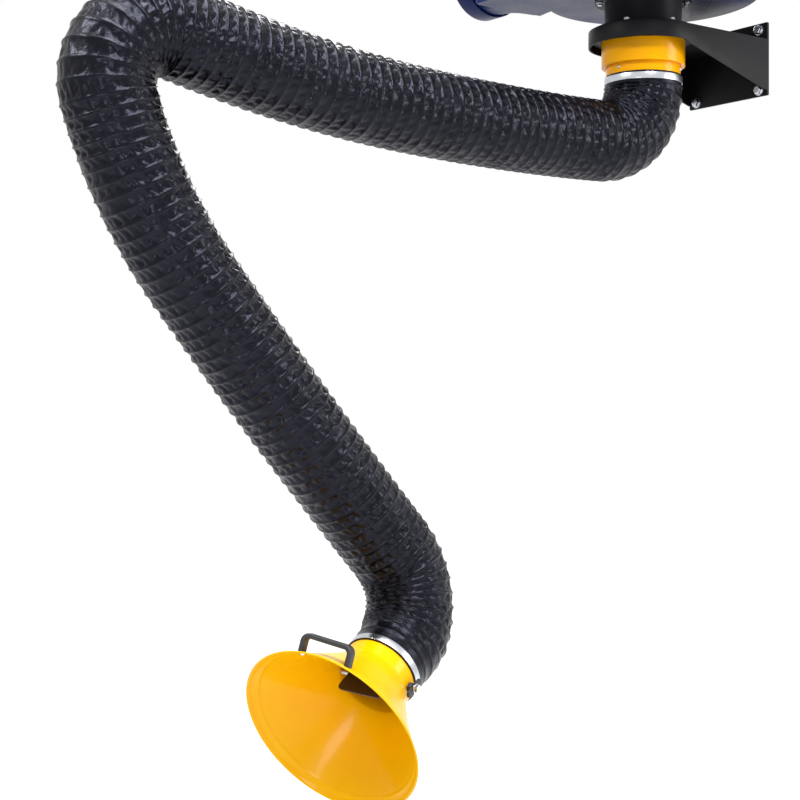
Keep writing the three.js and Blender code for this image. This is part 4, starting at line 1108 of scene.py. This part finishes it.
@dataclass
class Swivel(OnAxis):
    """Collar, sleeve and clamp under the deck, all about the vertical axis.

    An outline is corners of radius and height; a band is inner and outer radius, bottom and top.
    """

    collar: Outline = ((85, 33.4), (100, 33.4), (100, 27.4), (89, 27.4), (89, -35), (79.8, -35),
                       (79.8, -31), (85, -31))
    retainer: Outline = ((89.6, 21.1), (108.1, 21.1), (108.1, 36.7), (100.6, 36.7), (100.6, 27.1),
                         (89.6, 27.1))
    sleeve: Band = (76.5, 79.5, -79.5, 20)
    cuff: Band = (79.8, 81.5, -79.35, -55)
    clamp: Band = (81.8, 83.3, -73, -59)
    washer: Band = (85, 100, 33.7, 36.7)
    screw: Pair = (4.0, 2.8)
    screw_height: float = -43.0
    screw_azimuths: Triple = (-85, 35, 155)

    def build(self) -> list[bpy.types.Object]:
        """Makes the swivel's turned pieces and its screws.

        Returns:
            The pieces made.
        """
        rings = (
            ("swivel_collar", "swivel", "swivel_collar_ring", YELLOW, 1.2, self.collar),
            ("duct_sleeve", "swivel", "duct_sleeve_tube", YELLOW, 0.8, band(*self.sleeve)),
            ("hose_cuff_upper", "swivel", "hose_cuff_upper_band", VINYL, 0.6, band(*self.cuff)),
            ("upper_clamp_band", "swivel", "upper_clamp_strip", ZINC, 0.5, band(*self.clamp)),
            ("retaining_ring", "bracket", "retaining_ring_body", CHARCOAL, 0.8, self.retainer),
            ("slide_washer", "bracket", "slide_washer_ring", NYLON, 0.5, band(*self.washer)),
        )
        pieces = []
        for node, body, name, finish, soften, profile in rings:
            shape = turned(profile, soften=soften).moved(self.at_axis())
            pieces.append(dress(node, body, name, shape, finish))
        middle = Vector((0, -self.axis_reach, self.screw_height))
        ways = [radial(a) for a in np.radians(self.screw_azimuths)]
        seats = [(middle + way * self.sleeve[1], way) for way in ways]
        screws = FastenerSet("sleeve_screws", round_screw(*self.screw), ZINC)
        pieces.append(screws.scatter(seats, "swivel"))
        return pieces


@dataclass
class Blower(OnAxis):
    """Spigot, scroll casing, outlet and motor above the deck.

    The cowl is corners of radius and height over the motor's top; a fin is corners of radius and
    half width; the motor's flange is radius and thickness.
    """

    deck_top: float = 42.0
    bottom: float = 110.0
    height: float = 158.0
    sheet: float = 2.0
    seam: float = 6.0
    start_radius: float = 205.0
    growth: float = 72.0
    tongue: float = 207.0
    sweep: float = 297.0
    face: float = 235.0
    taper: float = 50.0
    collar: float = 45.0
    collar_radii: Pair = (80.6, 84.1)
    duct_sides: int = 128
    duct_rows: int = 12
    outlet_radius: float = 80.0
    inlet_hole: float = 79.0
    spigot_radius: float = 82.0
    spigot_flanges: Pair = (106.0, 103.0)
    spigot_flange_thick: float = 5.0
    bolt: Triple = (6.0, 6.5, 7.5)
    bolt_rings: Pair = (95.0, 93.0)
    bolt_azimuths: tuple[int, int, int] = (-66, 294, 60)
    motor_radius: float = 72.0
    motor_height: float = 150.0
    motor_flange: Pair = (95.0, 8.0)
    fin: Outline = ((72, 1.2), (72, -1.2), (75.6, -0.9), (75.6, 0.9))
    fin_heights: Pair = (12.0, 116.0)
    fin_azimuths: tuple[int, int, int] = (40, 321, 10)
    cowl: Outline = ((0, 32), (76, 32), (76, -20), (72.3, -20), (72.3, -30), (79, -30), (79, 27),
                     (71, 35), (0, 35))
    gap: float = 0.3

    @property
    def scroll_end(self) -> float:
        """Radius of the scroll where its spiral ends."""
        return self.start_radius + self.growth * self.sweep / 360

    @property
    def tongue_y(self) -> float:
        """Place of the tongue across the outlet."""
        return self.start_radius * math.sin(math.radians(self.tongue))

    def outline(self, offset: float, steps: int = 110) -> list[Pair]:
        """Plan outline of the scroll, moved out by an offset.

        Args:
            offset: how far outside the scroll wall.
            steps: points along the spiral.

        Returns:
            Corners in X and Y.
        """
        points = []
        for i in range(steps + 1):
            sweep = self.sweep * i / steps
            radius = self.start_radius + self.growth * sweep / 360 + offset
            points.append(polar(radius, math.radians(self.tongue - sweep)))
        return points + [(-self.face, -self.scroll_end - offset),
                         (-self.face, self.tongue_y + offset)]

    def wall(self) -> Shape:
        """The rolled scroll wall between the two plates.

        Returns:
            The wall, open at the outlet.
        """
        low = self.sheet + self.gap
        high = self.height - self.sheet - self.gap
        rows = [np.array([(*o, low), (*o, high), (*i, high), (*i, low)])
                for o, i in zip(self.outline(0), self.outline(-self.sheet))]
        return bent_strip(rows[-1:] + rows[:-1])

    def duct(self) -> Shape:
        """The outlet's change from square to round.

        Returns:
            The hollow duct.
        """
        middle = np.array(((self.tongue_y - self.scroll_end) / 2, self.height / 2))
        half = np.array(((self.tongue_y + self.scroll_end) / 2, self.height / 2))
        angle = around(self.duct_sides)
        cos, sin = np.cos(angle), np.sin(angle)

        def ring(inset: float, share: float, x: float) -> np.ndarray:
            """One ring of the duct, from square at a share of 0 to round at 1.

            Args:
                inset: how far inside the outer surface.
                share: how round the ring is.
                x: place along the outlet.

            Returns:
                The ring's points.
            """
            box = 1 / np.maximum(np.abs(cos) / (half[0] - inset), np.abs(sin) / (half[1] - inset))
            radius = box + (self.outlet_radius - inset - box) * share
            return np.stack([np.full_like(angle, x), middle[0] + radius * cos,
                             middle[1] + radius * sin], axis=-1)

        mouth = -self.face - self.gap
        stations = [(share * share * (3 - 2 * share), mouth - self.taper * share)
                    for share in np.linspace(0, 1, self.duct_rows)]
        stations.append((1.0, mouth - self.taper - self.collar))
        outer, inner = ([ring(inset, *station) for station in stations]
                        for inset in (0, self.sheet))
        return tube_of_rings(outer, inner)

    def motor(self, base: float, top: float) -> Shape:
        """The motor's body on its flange, with cooling fins.

        Args:
            base: height of the flange's underside.
            top: height of the body's top.

        Returns:
            The body and its fins.
        """
        flange, thick = self.motor_flange
        body = disc_turned([(0, base), (flange, base), (flange, base + thick),
                            (self.motor_radius, base + thick), (self.motor_radius, top), (0, top)],
                           soften=1.5)
        low, high = self.fin_heights
        fins = []
        for a in np.radians(np.arange(*self.fin_azimuths)):
            cos, sin = math.cos(a), math.sin(a)
            plan = [(r * cos - side * sin, r * sin + side * cos) for r, side in self.fin]
            fins.append(prism(plan, base + low, base + high))
        return body.joined(*fins)

    def build(self) -> list[bpy.types.Object]:
        """Makes the blower's casing, motor and flange bolts.

        Returns:
            The pieces made.
        """
        at_fan = self.at_axis(self.bottom)
        low = self.deck_top + self.gap
        high = self.bottom - self.gap
        foot = low + self.spigot_flange_thick
        head = high - self.spigot_flange_thick
        bore, neck, (wide, narrow) = self.inlet_hole, self.spigot_radius, self.spigot_flanges
        spigot = turned([(bore, low), (wide, low), (wide, foot), (neck, foot), (neck, head),
                         (narrow, head), (narrow, high), (bore, high)])
        plate = self.outline(self.seam)
        floor = pierced(plate, self.inlet_hole, 0, self.sheet)
        lid = prism(plate, self.height - self.sheet, self.height)
        mouth = Vector((-self.face - self.gap - self.taper,
                        (self.tongue_y - self.scroll_end) / 2 - self.axis_reach,
                        self.bottom + self.height / 2))
        sleeve = turned(band(*self.collar_radii, 0, self.collar))
        base = self.height + self.gap
        top = base + self.motor_height
        motor = self.motor(base, top)
        cowl = disc_turned([(r, top + rise) for r, rise in self.cowl], soften=2.0)
        soft, crisp = 40.0, 30.0
        casing = (
            ("inlet_spigot", "inlet_spigot_duct", spigot, self.at_axis(), CHARCOAL, soft),
            ("fan_bottom_plate", "fan_floor_sheet", floor, at_fan, NAVY, crisp),
            ("fan_lid", "fan_lid_sheet", lid, at_fan, NAVY, crisp),
            ("fan_scroll_wall", "fan_scroll_sheet", self.wall(), at_fan, NAVY, crisp),
            ("outlet_duct", "outlet_transition", self.duct(), at_fan, NAVY, crisp),
            ("outlet_collar", "outlet_collar_ring", sleeve, frame_at(mouth, -X_AXIS, Z_AXIS), NAVY,
             soft),
            ("motor_housing", "motor_body", motor, at_fan, NAVY, crisp),
            ("motor_cowl", "motor_cowl_cap", cowl, at_fan, NAVY, crisp),
        )
        pieces = [dress(node, "bracket", name, shape.moved(place), finish, sharp=sharp)
                  for node, name, shape, place, finish, sharp in casing]
        centre = Vector((0, -self.axis_reach, 0))
        ways = [radial(a) for a in np.radians(np.arange(*self.bolt_azimuths))]
        rings = zip(self.bolt_rings, (foot, head), (Z_AXIS, -Z_AXIS))
        seats = [(centre + way * radius + Vector((0, 0, seat)), out)
                 for radius, seat, out in rings for way in ways]
        bolts = FastenerSet("spigot_bolts", hex_bolt(*self.bolt), ZINC)
        pieces.append(bolts.scatter(seats, "bracket"))
        return pieces


@dataclass
class Hood:
    """Bell, handle, clamp and damper, about the hood's own axis.

    Depths run from the neck clamp towards the rim. The lever's and the nut's places are distances
    from the hood's axis along the damper's shaft.
    """

    route: HoseRoute
    hose: Hose
    sides: int = 192
    hem: float = 75.0
    hem_from: float = -8.5
    neck: float = 73.0
    wall: float = 2.5
    back: float = 48.4
    flare_from: float = 38.0
    flare_lead: float = 14.0
    depth: float = 180.0
    rim: float = 175.0
    power: float = 1.15
    bell_rows: int = 90
    lip: float = 9.0
    lip_rows: int = 6
    lip_lead: float = 1.5
    lip_flare: float = 1.5
    lip_over: float = 2.0
    lip_relief: float = 0.9
    groove_back: float = 3.0
    groove_width: float = 2.0
    bead: float = 1.6
    bead_out: float = 0.3
    bead_turn: Pair = (-0.6, 2.6)
    bead_rows: int = 9
    handle_azimuth: float = 244.0
    handle_span: float = 94.0
    handle_height: float = 34.0
    handle_drop: float = 3.2
    handle_corner: float = 11.0
    handle_corner_start: float = 0.15
    handle_corner_rows: int = 8
    handle_bar: float = 9.0
    handle_width: float = 18.0
    handle_round: float = 3.0
    handle_from_rim: float = 17.0
    handle_lift: float = 20.0
    handle_screw: Pair = (5.0, 3.0)
    screw_gap: float = 0.1
    bell_gap: float = 0.35
    drop_reach: float = 90.0
    drop_halvings: int = 30
    cuff_span: Pair = (-48.75, 9.0)
    cuff_rows: int = 45
    cuff_ribs: int = 2
    cuff_taper: float = 1.2
    cuff_sag: float = 2.4
    cuff_crumple: float = 1.8
    cuff_fold_lift: float = 0.3
    cuff_cloth: float = 1.7
    cuff_seed: int = 900
    clamp: Band = (75.3, 76.8, -7, 7)
    damper_at: float = 30.0
    damper_azimuth: float = 160.0
    blade: Pair = (104.0, 100.0)
    blade_corner: float = 16.0
    blade_faces: Pair = (5.3, 7.8)
    lever_hub: Band = (0, 9, 76, 84.5)
    lever: Pair = (46.0, 13.0)
    lever_corner: float = 6.0
    lever_faces: Pair = (84.0, 89.0)
    nut: Triple = (8.0, 8.0, 9.0)
    nut_at: float = 89.3

    def place(self) -> Matrix:
        """The hood's frame: origin at the neck clamp, Z along its axis."""
        return frame_at(self.route.point, self.route.heading, self.route.tilt_axis)

    def radius(self, depth: float) -> float:
        """Outside radius of the bell at a depth from the neck clamp."""
        share = max(0.0, (depth - self.flare_from) / (self.depth - self.flare_from))
        return self.neck + (self.rim - self.neck) * share ** self.power

    def bell(self) -> Shape:
        """The spun bell with a groove before its lip and a rolled rim.

        Returns:
            The bell about its axis.
        """
        lip_at = self.depth - self.lip
        flare = np.linspace(self.flare_from - self.flare_lead, lip_at, self.bell_rows)
        outer = []
        for d in [-self.back, *flare]:
            from_groove = (d - self.depth + self.lip + self.groove_back) / self.groove_width
            outer.append((self.radius(d) - self.lip_relief * math.exp(-from_groove ** 2), d))
        edge = self.radius(lip_at)
        reach = self.lip + self.lip_over
        slope = (self.rim + self.lip_flare - edge) / reach
        outer += [(edge + slope * t + self.lip_relief * math.sin(math.pi * t / reach), lip_at + t)
                  for t in np.linspace(self.lip_lead, reach, self.lip_rows)]
        rim_r, rim_d = outer[-1]
        bead = [(rim_r + self.bead_out + self.bead * math.cos(a), rim_d + self.bead * math.sin(a))
                for a in np.linspace(*self.bead_turn, self.bead_rows)]
        inner = [(r - self.wall, d) for r, d in reversed(outer)]
        return turned(outer + bead + inner, self.sides, soften=0.0)

    def on_bell(self, azimuth: float) -> Matrix:
        """A frame on the bell at the handle's depth: Z along its normal, X round the rim.

        Args:
            azimuth: angle round the hood's axis, in degrees.

        Returns:
            The frame in the hood's frame.
        """
        depth = self.depth - self.handle_from_rim
        out = radial(math.radians(azimuth))
        slope = (self.radius(depth + 1) - self.radius(depth - 1)) / 2
        normal = (out - Z_AXIS * slope).normalized()
        return frame_at(out * self.radius(depth) + Z_AXIS * depth, normal, Z_AXIS.cross(out))

    def drop(self, point: Vector, way: Vector) -> Vector:
        """Moves a point along a direction until it meets the bell's outside.

        Args:
            point: where it starts.
            way: its direction.

        Returns:
            The point just outside the bell.
        """
        low, high = 0.0, self.drop_reach
        for _ in range(self.drop_halvings):
            middle = (low + high) / 2
            probe = point + way * middle
            if math.hypot(probe.x, probe.y) > self.radius(probe.z) + self.bell_gap:
                low = middle
            else:
                high = middle
        return point + way * low

    def handle_path(self) -> list[tuple[Vector, Vector]]:
        """Points and headings along the middle of the handle, from foot to foot.

        Returns:
            Each point with its heading.
        """
        half = self.handle_span / 2
        top = self.handle_height - self.handle_bar / 2 - self.handle_drop
        corner = self.handle_corner
        path = [(Vector((half, 0, height)), Z_AXIS) for height in (0, top - corner)]
        for a in np.linspace(self.handle_corner_start, math.pi / 2, self.handle_corner_rows):
            x, z = half - corner + corner * math.cos(a), top - corner + corner * math.sin(a)
            path.append((Vector((x, 0, z)), Vector((-math.sin(a), 0, math.cos(a)))))
        return path + [(Vector((-p.x, 0, p.z)), Vector((w.x, 0, -w.z))) for p, w in reversed(path)]

    def handle(self) -> Shape:
        """The moulded handle: a bar on two legs that meet the bell.

        Returns:
            The handle in the hood's frame.
        """
        placed = self.on_bell(self.handle_azimuth)
        way = -(placed.to_3x3() @ Z_AXIS)
        bar = rectangle(self.handle_bar, self.handle_width, self.handle_round, steps=3)
        path = self.handle_path()
        rows = []
        for k, (point, heading) in enumerate(path):
            across = heading.cross(Y_AXIS)
            ring = [placed @ (point + across * u + Vector((0, v, 0))) for u, v in bar]
            if k in (0, len(path) - 1):
                ring = [self.drop(p - way * self.handle_lift, way) for p in ring]
            rows.append(np.array([tuple(p) for p in ring]))
        size = (len(rows), len(bar))
        ends = [face[::-1] for face in end_faces(*size)]
        return Shape(np.concatenate(rows), ring_faces(*size) + ends)

    def cuff(self) -> Shape:
        """The hose's end on the neck: two drawn-in ribs, then a flat hem under the clamp.

        Returns:
            The hollow cuff in the hood's frame.
        """
        angle = around(self.sides)
        ring = np.stack([np.cos(angle), np.sin(angle), np.zeros_like(angle)], axis=-1)
        start, end = self.cuff_span
        outer = []
        inner = []
        for depth in np.linspace(start, end, self.cuff_rows):
            radius = np.full_like(angle, self.hem)
            if depth < self.hem_from:
                along = (depth - start) / (self.hem_from - start) * self.cuff_ribs
                across = along % 1.0
                hang = math.sin(math.pi * across)
                folds = self.hose.crease(self.cuff_seed + int(along), across, angle) * hang
                crest = self.hose.neck_crest - self.cuff_taper * along
                sag = self.cuff_sag * hang ** self.hose.belly_power
                fold_depth = self.cuff_crumple * (folds - self.cuff_fold_lift * hang)
                radius = np.clip(crest - sag - fold_depth, self.hem, crest)
            level = np.array((0, 0, depth))
            outer.append(ring * radius[:, None] + level)
            inner.append(ring * (self.hem - self.cuff_cloth) + level)
        return tube_of_rings(outer, inner)

    def damper(self, shaft: Matrix) -> list[bpy.types.Object]:
        """Makes the damper's blade, lever and nut about its shaft.

        Args:
            shaft: the shaft's frame, with Z along it.

        Returns:
            The pieces made.
        """
        flat = Matrix(((1, 0, 0, 0), (0, 0, -1, 0), (0, 1, 0, 0), (0, 0, 0, 1)))
        sheet = prism(rectangle(*self.blade, self.blade_corner, steps=6), *self.blade_faces)
        blade = sheet.moved(shaft @ flat)
        hub = disc_turned(band(*self.lever_hub), segments=40, soften=0.8)
        arm = prism(rectangle(*self.lever, self.lever_corner, steps=5), *self.lever_faces)
        lever = hub.joined(arm).moved(shaft)
        nut = hex_bolt(*self.nut).moved(Matrix.Translation((0, 0, self.nut_at))).moved(shaft)
        return [
            dress("damper_blade", "damper", "damper_blade_sheet", blade, DAMPER, bevel=0.5),
            dress("damper_lever", "damper", "damper_lever_moulded", lever, POLYAMIDE, bevel=0.8),
            dress("lever_nut", "damper", "lever_nut_plated", nut, ZINC, sharp=30),
        ]

    def screw_seats(self, place: Matrix) -> list[tuple[Vector, Vector]]:
        """Seats and directions of the handle's screws, on the inside of the bell.

        Args:
            place: the hood's frame.

        Returns:
            Each seat with its direction.
        """
        at_handle = self.radius(self.depth - self.handle_from_rim)
        spread = math.degrees(math.asin(self.handle_span / 2 / at_handle))
        seats = []
        for azimuth in (self.handle_azimuth - spread, self.handle_azimuth + spread):
            foot = place @ self.on_bell(azimuth)
            way = -(foot.to_3x3() @ Z_AXIS)
            seats.append((foot.translation + way * (self.wall + self.screw_gap), way))
        return seats

    def build(self) -> list[bpy.types.Object]:
        """Makes the hood's pieces.

        Returns:
            The pieces made.
        """
        place = self.place()
        clamp = turned(band(*self.clamp), soften=0.5)
        shells = (
            # the bell wears the less red copy of the yellow paint: painted light, not a different
            # paint
            ("hood_bell", "hood_bell_spun", self.bell(), HOOD_YELLOW_PAINTED_LIGHT, 60),
            ("hood_handle", "hood_handle_moulded", self.handle(), POLYAMIDE, 50),
            ("hose_cuff_lower", "hose_cuff_lower_band", self.cuff(), VINYL, 70),
            ("lower_clamp_band", "lower_clamp_strip", clamp, ZINC, 40),
        )
        pieces = [dress(node, "hood", name, shape.moved(place), finish, sharp=sharp)
                  for node, name, shape, finish, sharp in shells]
        shaft_way = radial(math.radians(self.damper_azimuth))
        shaft = frame_at(Vector((0, 0, self.damper_at)), shaft_way, Z_AXIS)
        pieces += self.damper(place @ shaft)
        screws = FastenerSet("handle_screw_heads", round_screw(*self.handle_screw), ZINC)
        pieces.append(screws.scatter(self.screw_seats(place), "hood", "handle_screw_1",
                                     "handle_screw_2"))
        return pieces


def finish_hidden_nodes() -> None:
    """Gives every CAD node that stays shown the procedural finish of its slot."""
    by_slot = {finish.slot: finish for finish in NODE_FINISHES}
    slots = {part["node"]: part["material_slot"] for part in frame["record"]["subparts"]}
    for name, node in frame["nodes"].items():
        node.data.materials.clear()
        node.data.materials.append(paint_material(by_slot[slots[name]]))


@dataclass(frozen=True)
class Lamp:
    """One square soft light aimed at a point, in metres and watts."""

    name: str
    at: Triple
    aim: Triple
    size: float
    power: float

    def add(self) -> None:
        """Puts the lamp in the scene."""
        data = bpy.data.lights.new(self.name, "AREA")
        data.size = self.size
        data.energy = self.power
        lamp = link_object(self.name, data)
        lamp.location = self.at
        way = Vector(self.aim) - Vector(self.at)
        lamp.rotation_euler = way.to_track_quat("-Z", "Y").to_euler()


@dataclass(frozen=True)
class Studio:
    """Camera, floor and lights, in metres."""

    eye: Triple = (2.451, -2.734, -0.765)
    look: Triple = (-0.8039, 0.5948, 0.0)
    lens: float = 72.0
    sensor: float = 36.0
    shift: float = 0.01
    far: float = 60.0
    floor: float = -1.75
    floor_reach: float = 14.0
    floor_colour: str = "D8D8D8"
    floor_roughness: float = 0.9
    floor_lift: float = 0.87
    dome: float = 0.2
    arm: Triple = (0.0, -0.9, -0.6)
    hood: Triple = (0.0, -1.07, -1.37)

    def lamps(self) -> list[Lamp]:
        """Lists the lights.

        Returns:
            The lamps over the arm, then the two that shine on the hood.
        """
        return [
            Lamp("key", (2.4, -1.3, 1.9), self.arm, 1.3, 110),
            Lamp("overhead", (0.4, -1.4, 1.9), (0.0, -1.1, -0.2), 1.3, 72),
            Lamp("right_strip", (1.9, 1.2, 0.0), self.arm, 1.0, 28),
            Lamp("rim", (-1.5, 0.3, 1.1), (0.0, -0.9, 0.0), 1.0, 26),
            Lamp("left_window", (-0.4, -2.9, 1.2), self.hood, 0.7, 30),
            Lamp("low_window", (1.45, -2.62, -0.66), self.hood, 0.6, 11),
        ]

    def build(self) -> None:
        """Sets up the view, the white room and the lights."""
        scene = bpy.context.scene
        scene.view_settings.view_transform = "Standard"
        data = bpy.data.cameras.new("camera")
        data.lens = self.lens
        data.sensor_width = self.sensor
        data.shift_y = self.shift
        data.clip_end = self.far
        camera = link_object("camera", data)
        camera.location = self.eye
        camera.rotation_euler = Vector(self.look).to_track_quat("-Z", "Y").to_euler()
        scene.camera = camera
        self.lay_floor()
        self.paint_world()
        for lamp in self.lamps():
            lamp.add()

    def seen(self, nodes: NodeTree) -> bpy.types.NodeSocket:
        """Adds a value that is 1 where the background is seen, mirrored or behind glass.

        Args:
            nodes: the tree to add to.

        Returns:
            The output.
        """
        path = nodes.add("ShaderNodeLightPath").outputs
        seen = path["Is Camera Ray"]
        for ray in ("Is Glossy Ray", "Is Transmission Ray"):
            seen = nodes.combine("MAXIMUM", seen, path[ray])
        return seen

    def lay_floor(self) -> None:
        """Adds the pale floor, lifted to white where it is seen."""
        mesh = bpy.data.meshes.new("floor")
        corners = ((-1, -1), (1, -1), (1, 1), (-1, 1))
        reach = self.floor_reach
        mesh.from_pydata([(x * reach, y * reach, self.floor) for x, y in corners], [],
                         [(0, 1, 2, 3)])
        floor = link_object("floor", mesh)
        # Matt pale paint on a studio floor
        pale = bpy.data.materials.new("pale_floor")
        pale.use_nodes = True
        nodes = NodeTree(pale.node_tree)
        nodes.put(pale.node_tree.nodes["Principled BSDF"], Base_Color=srgb(self.floor_colour),
                  Roughness=self.floor_roughness, Emission_Color=(1, 1, 1, 1),
                  Emission_Strength=nodes.combine("MULTIPLY", self.seen(nodes), self.floor_lift))
        mesh.materials.append(pale)

    def paint_world(self) -> None:
        """Adds a world that looks white and lights the part only a little."""
        world = bpy.data.worlds.new("white_room")
        bpy.context.scene.world = world
        world.use_nodes = True
        nodes = NodeTree(world.node_tree)
        level = nodes.add("ShaderNodeMapRange", Value=self.seen(nodes), To_Min=self.dome,
                          To_Max=1.0)
        nodes.put(world.node_tree.nodes["Background"], Color=(1, 1, 1, 1),
                  Strength=level.outputs["Result"])


def main() -> None:
    """Builds the looks of the whole arm."""
    logging.basicConfig(level=logging.INFO)
    Studio().build()
    route = HoseRoute()
    finish_hidden_nodes()
    hose = Hose(route)
    for assembly in (hose, Bracket(), Swivel(), Blower(), Hood(route, hose)):
        for piece in assembly.build():
            LOG.info("%s: %d faces", piece.name, len(piece.data.polygons))
    LOG.info("hose length %.0f mm", route.length)


if __name__ == "__main__":
    main()
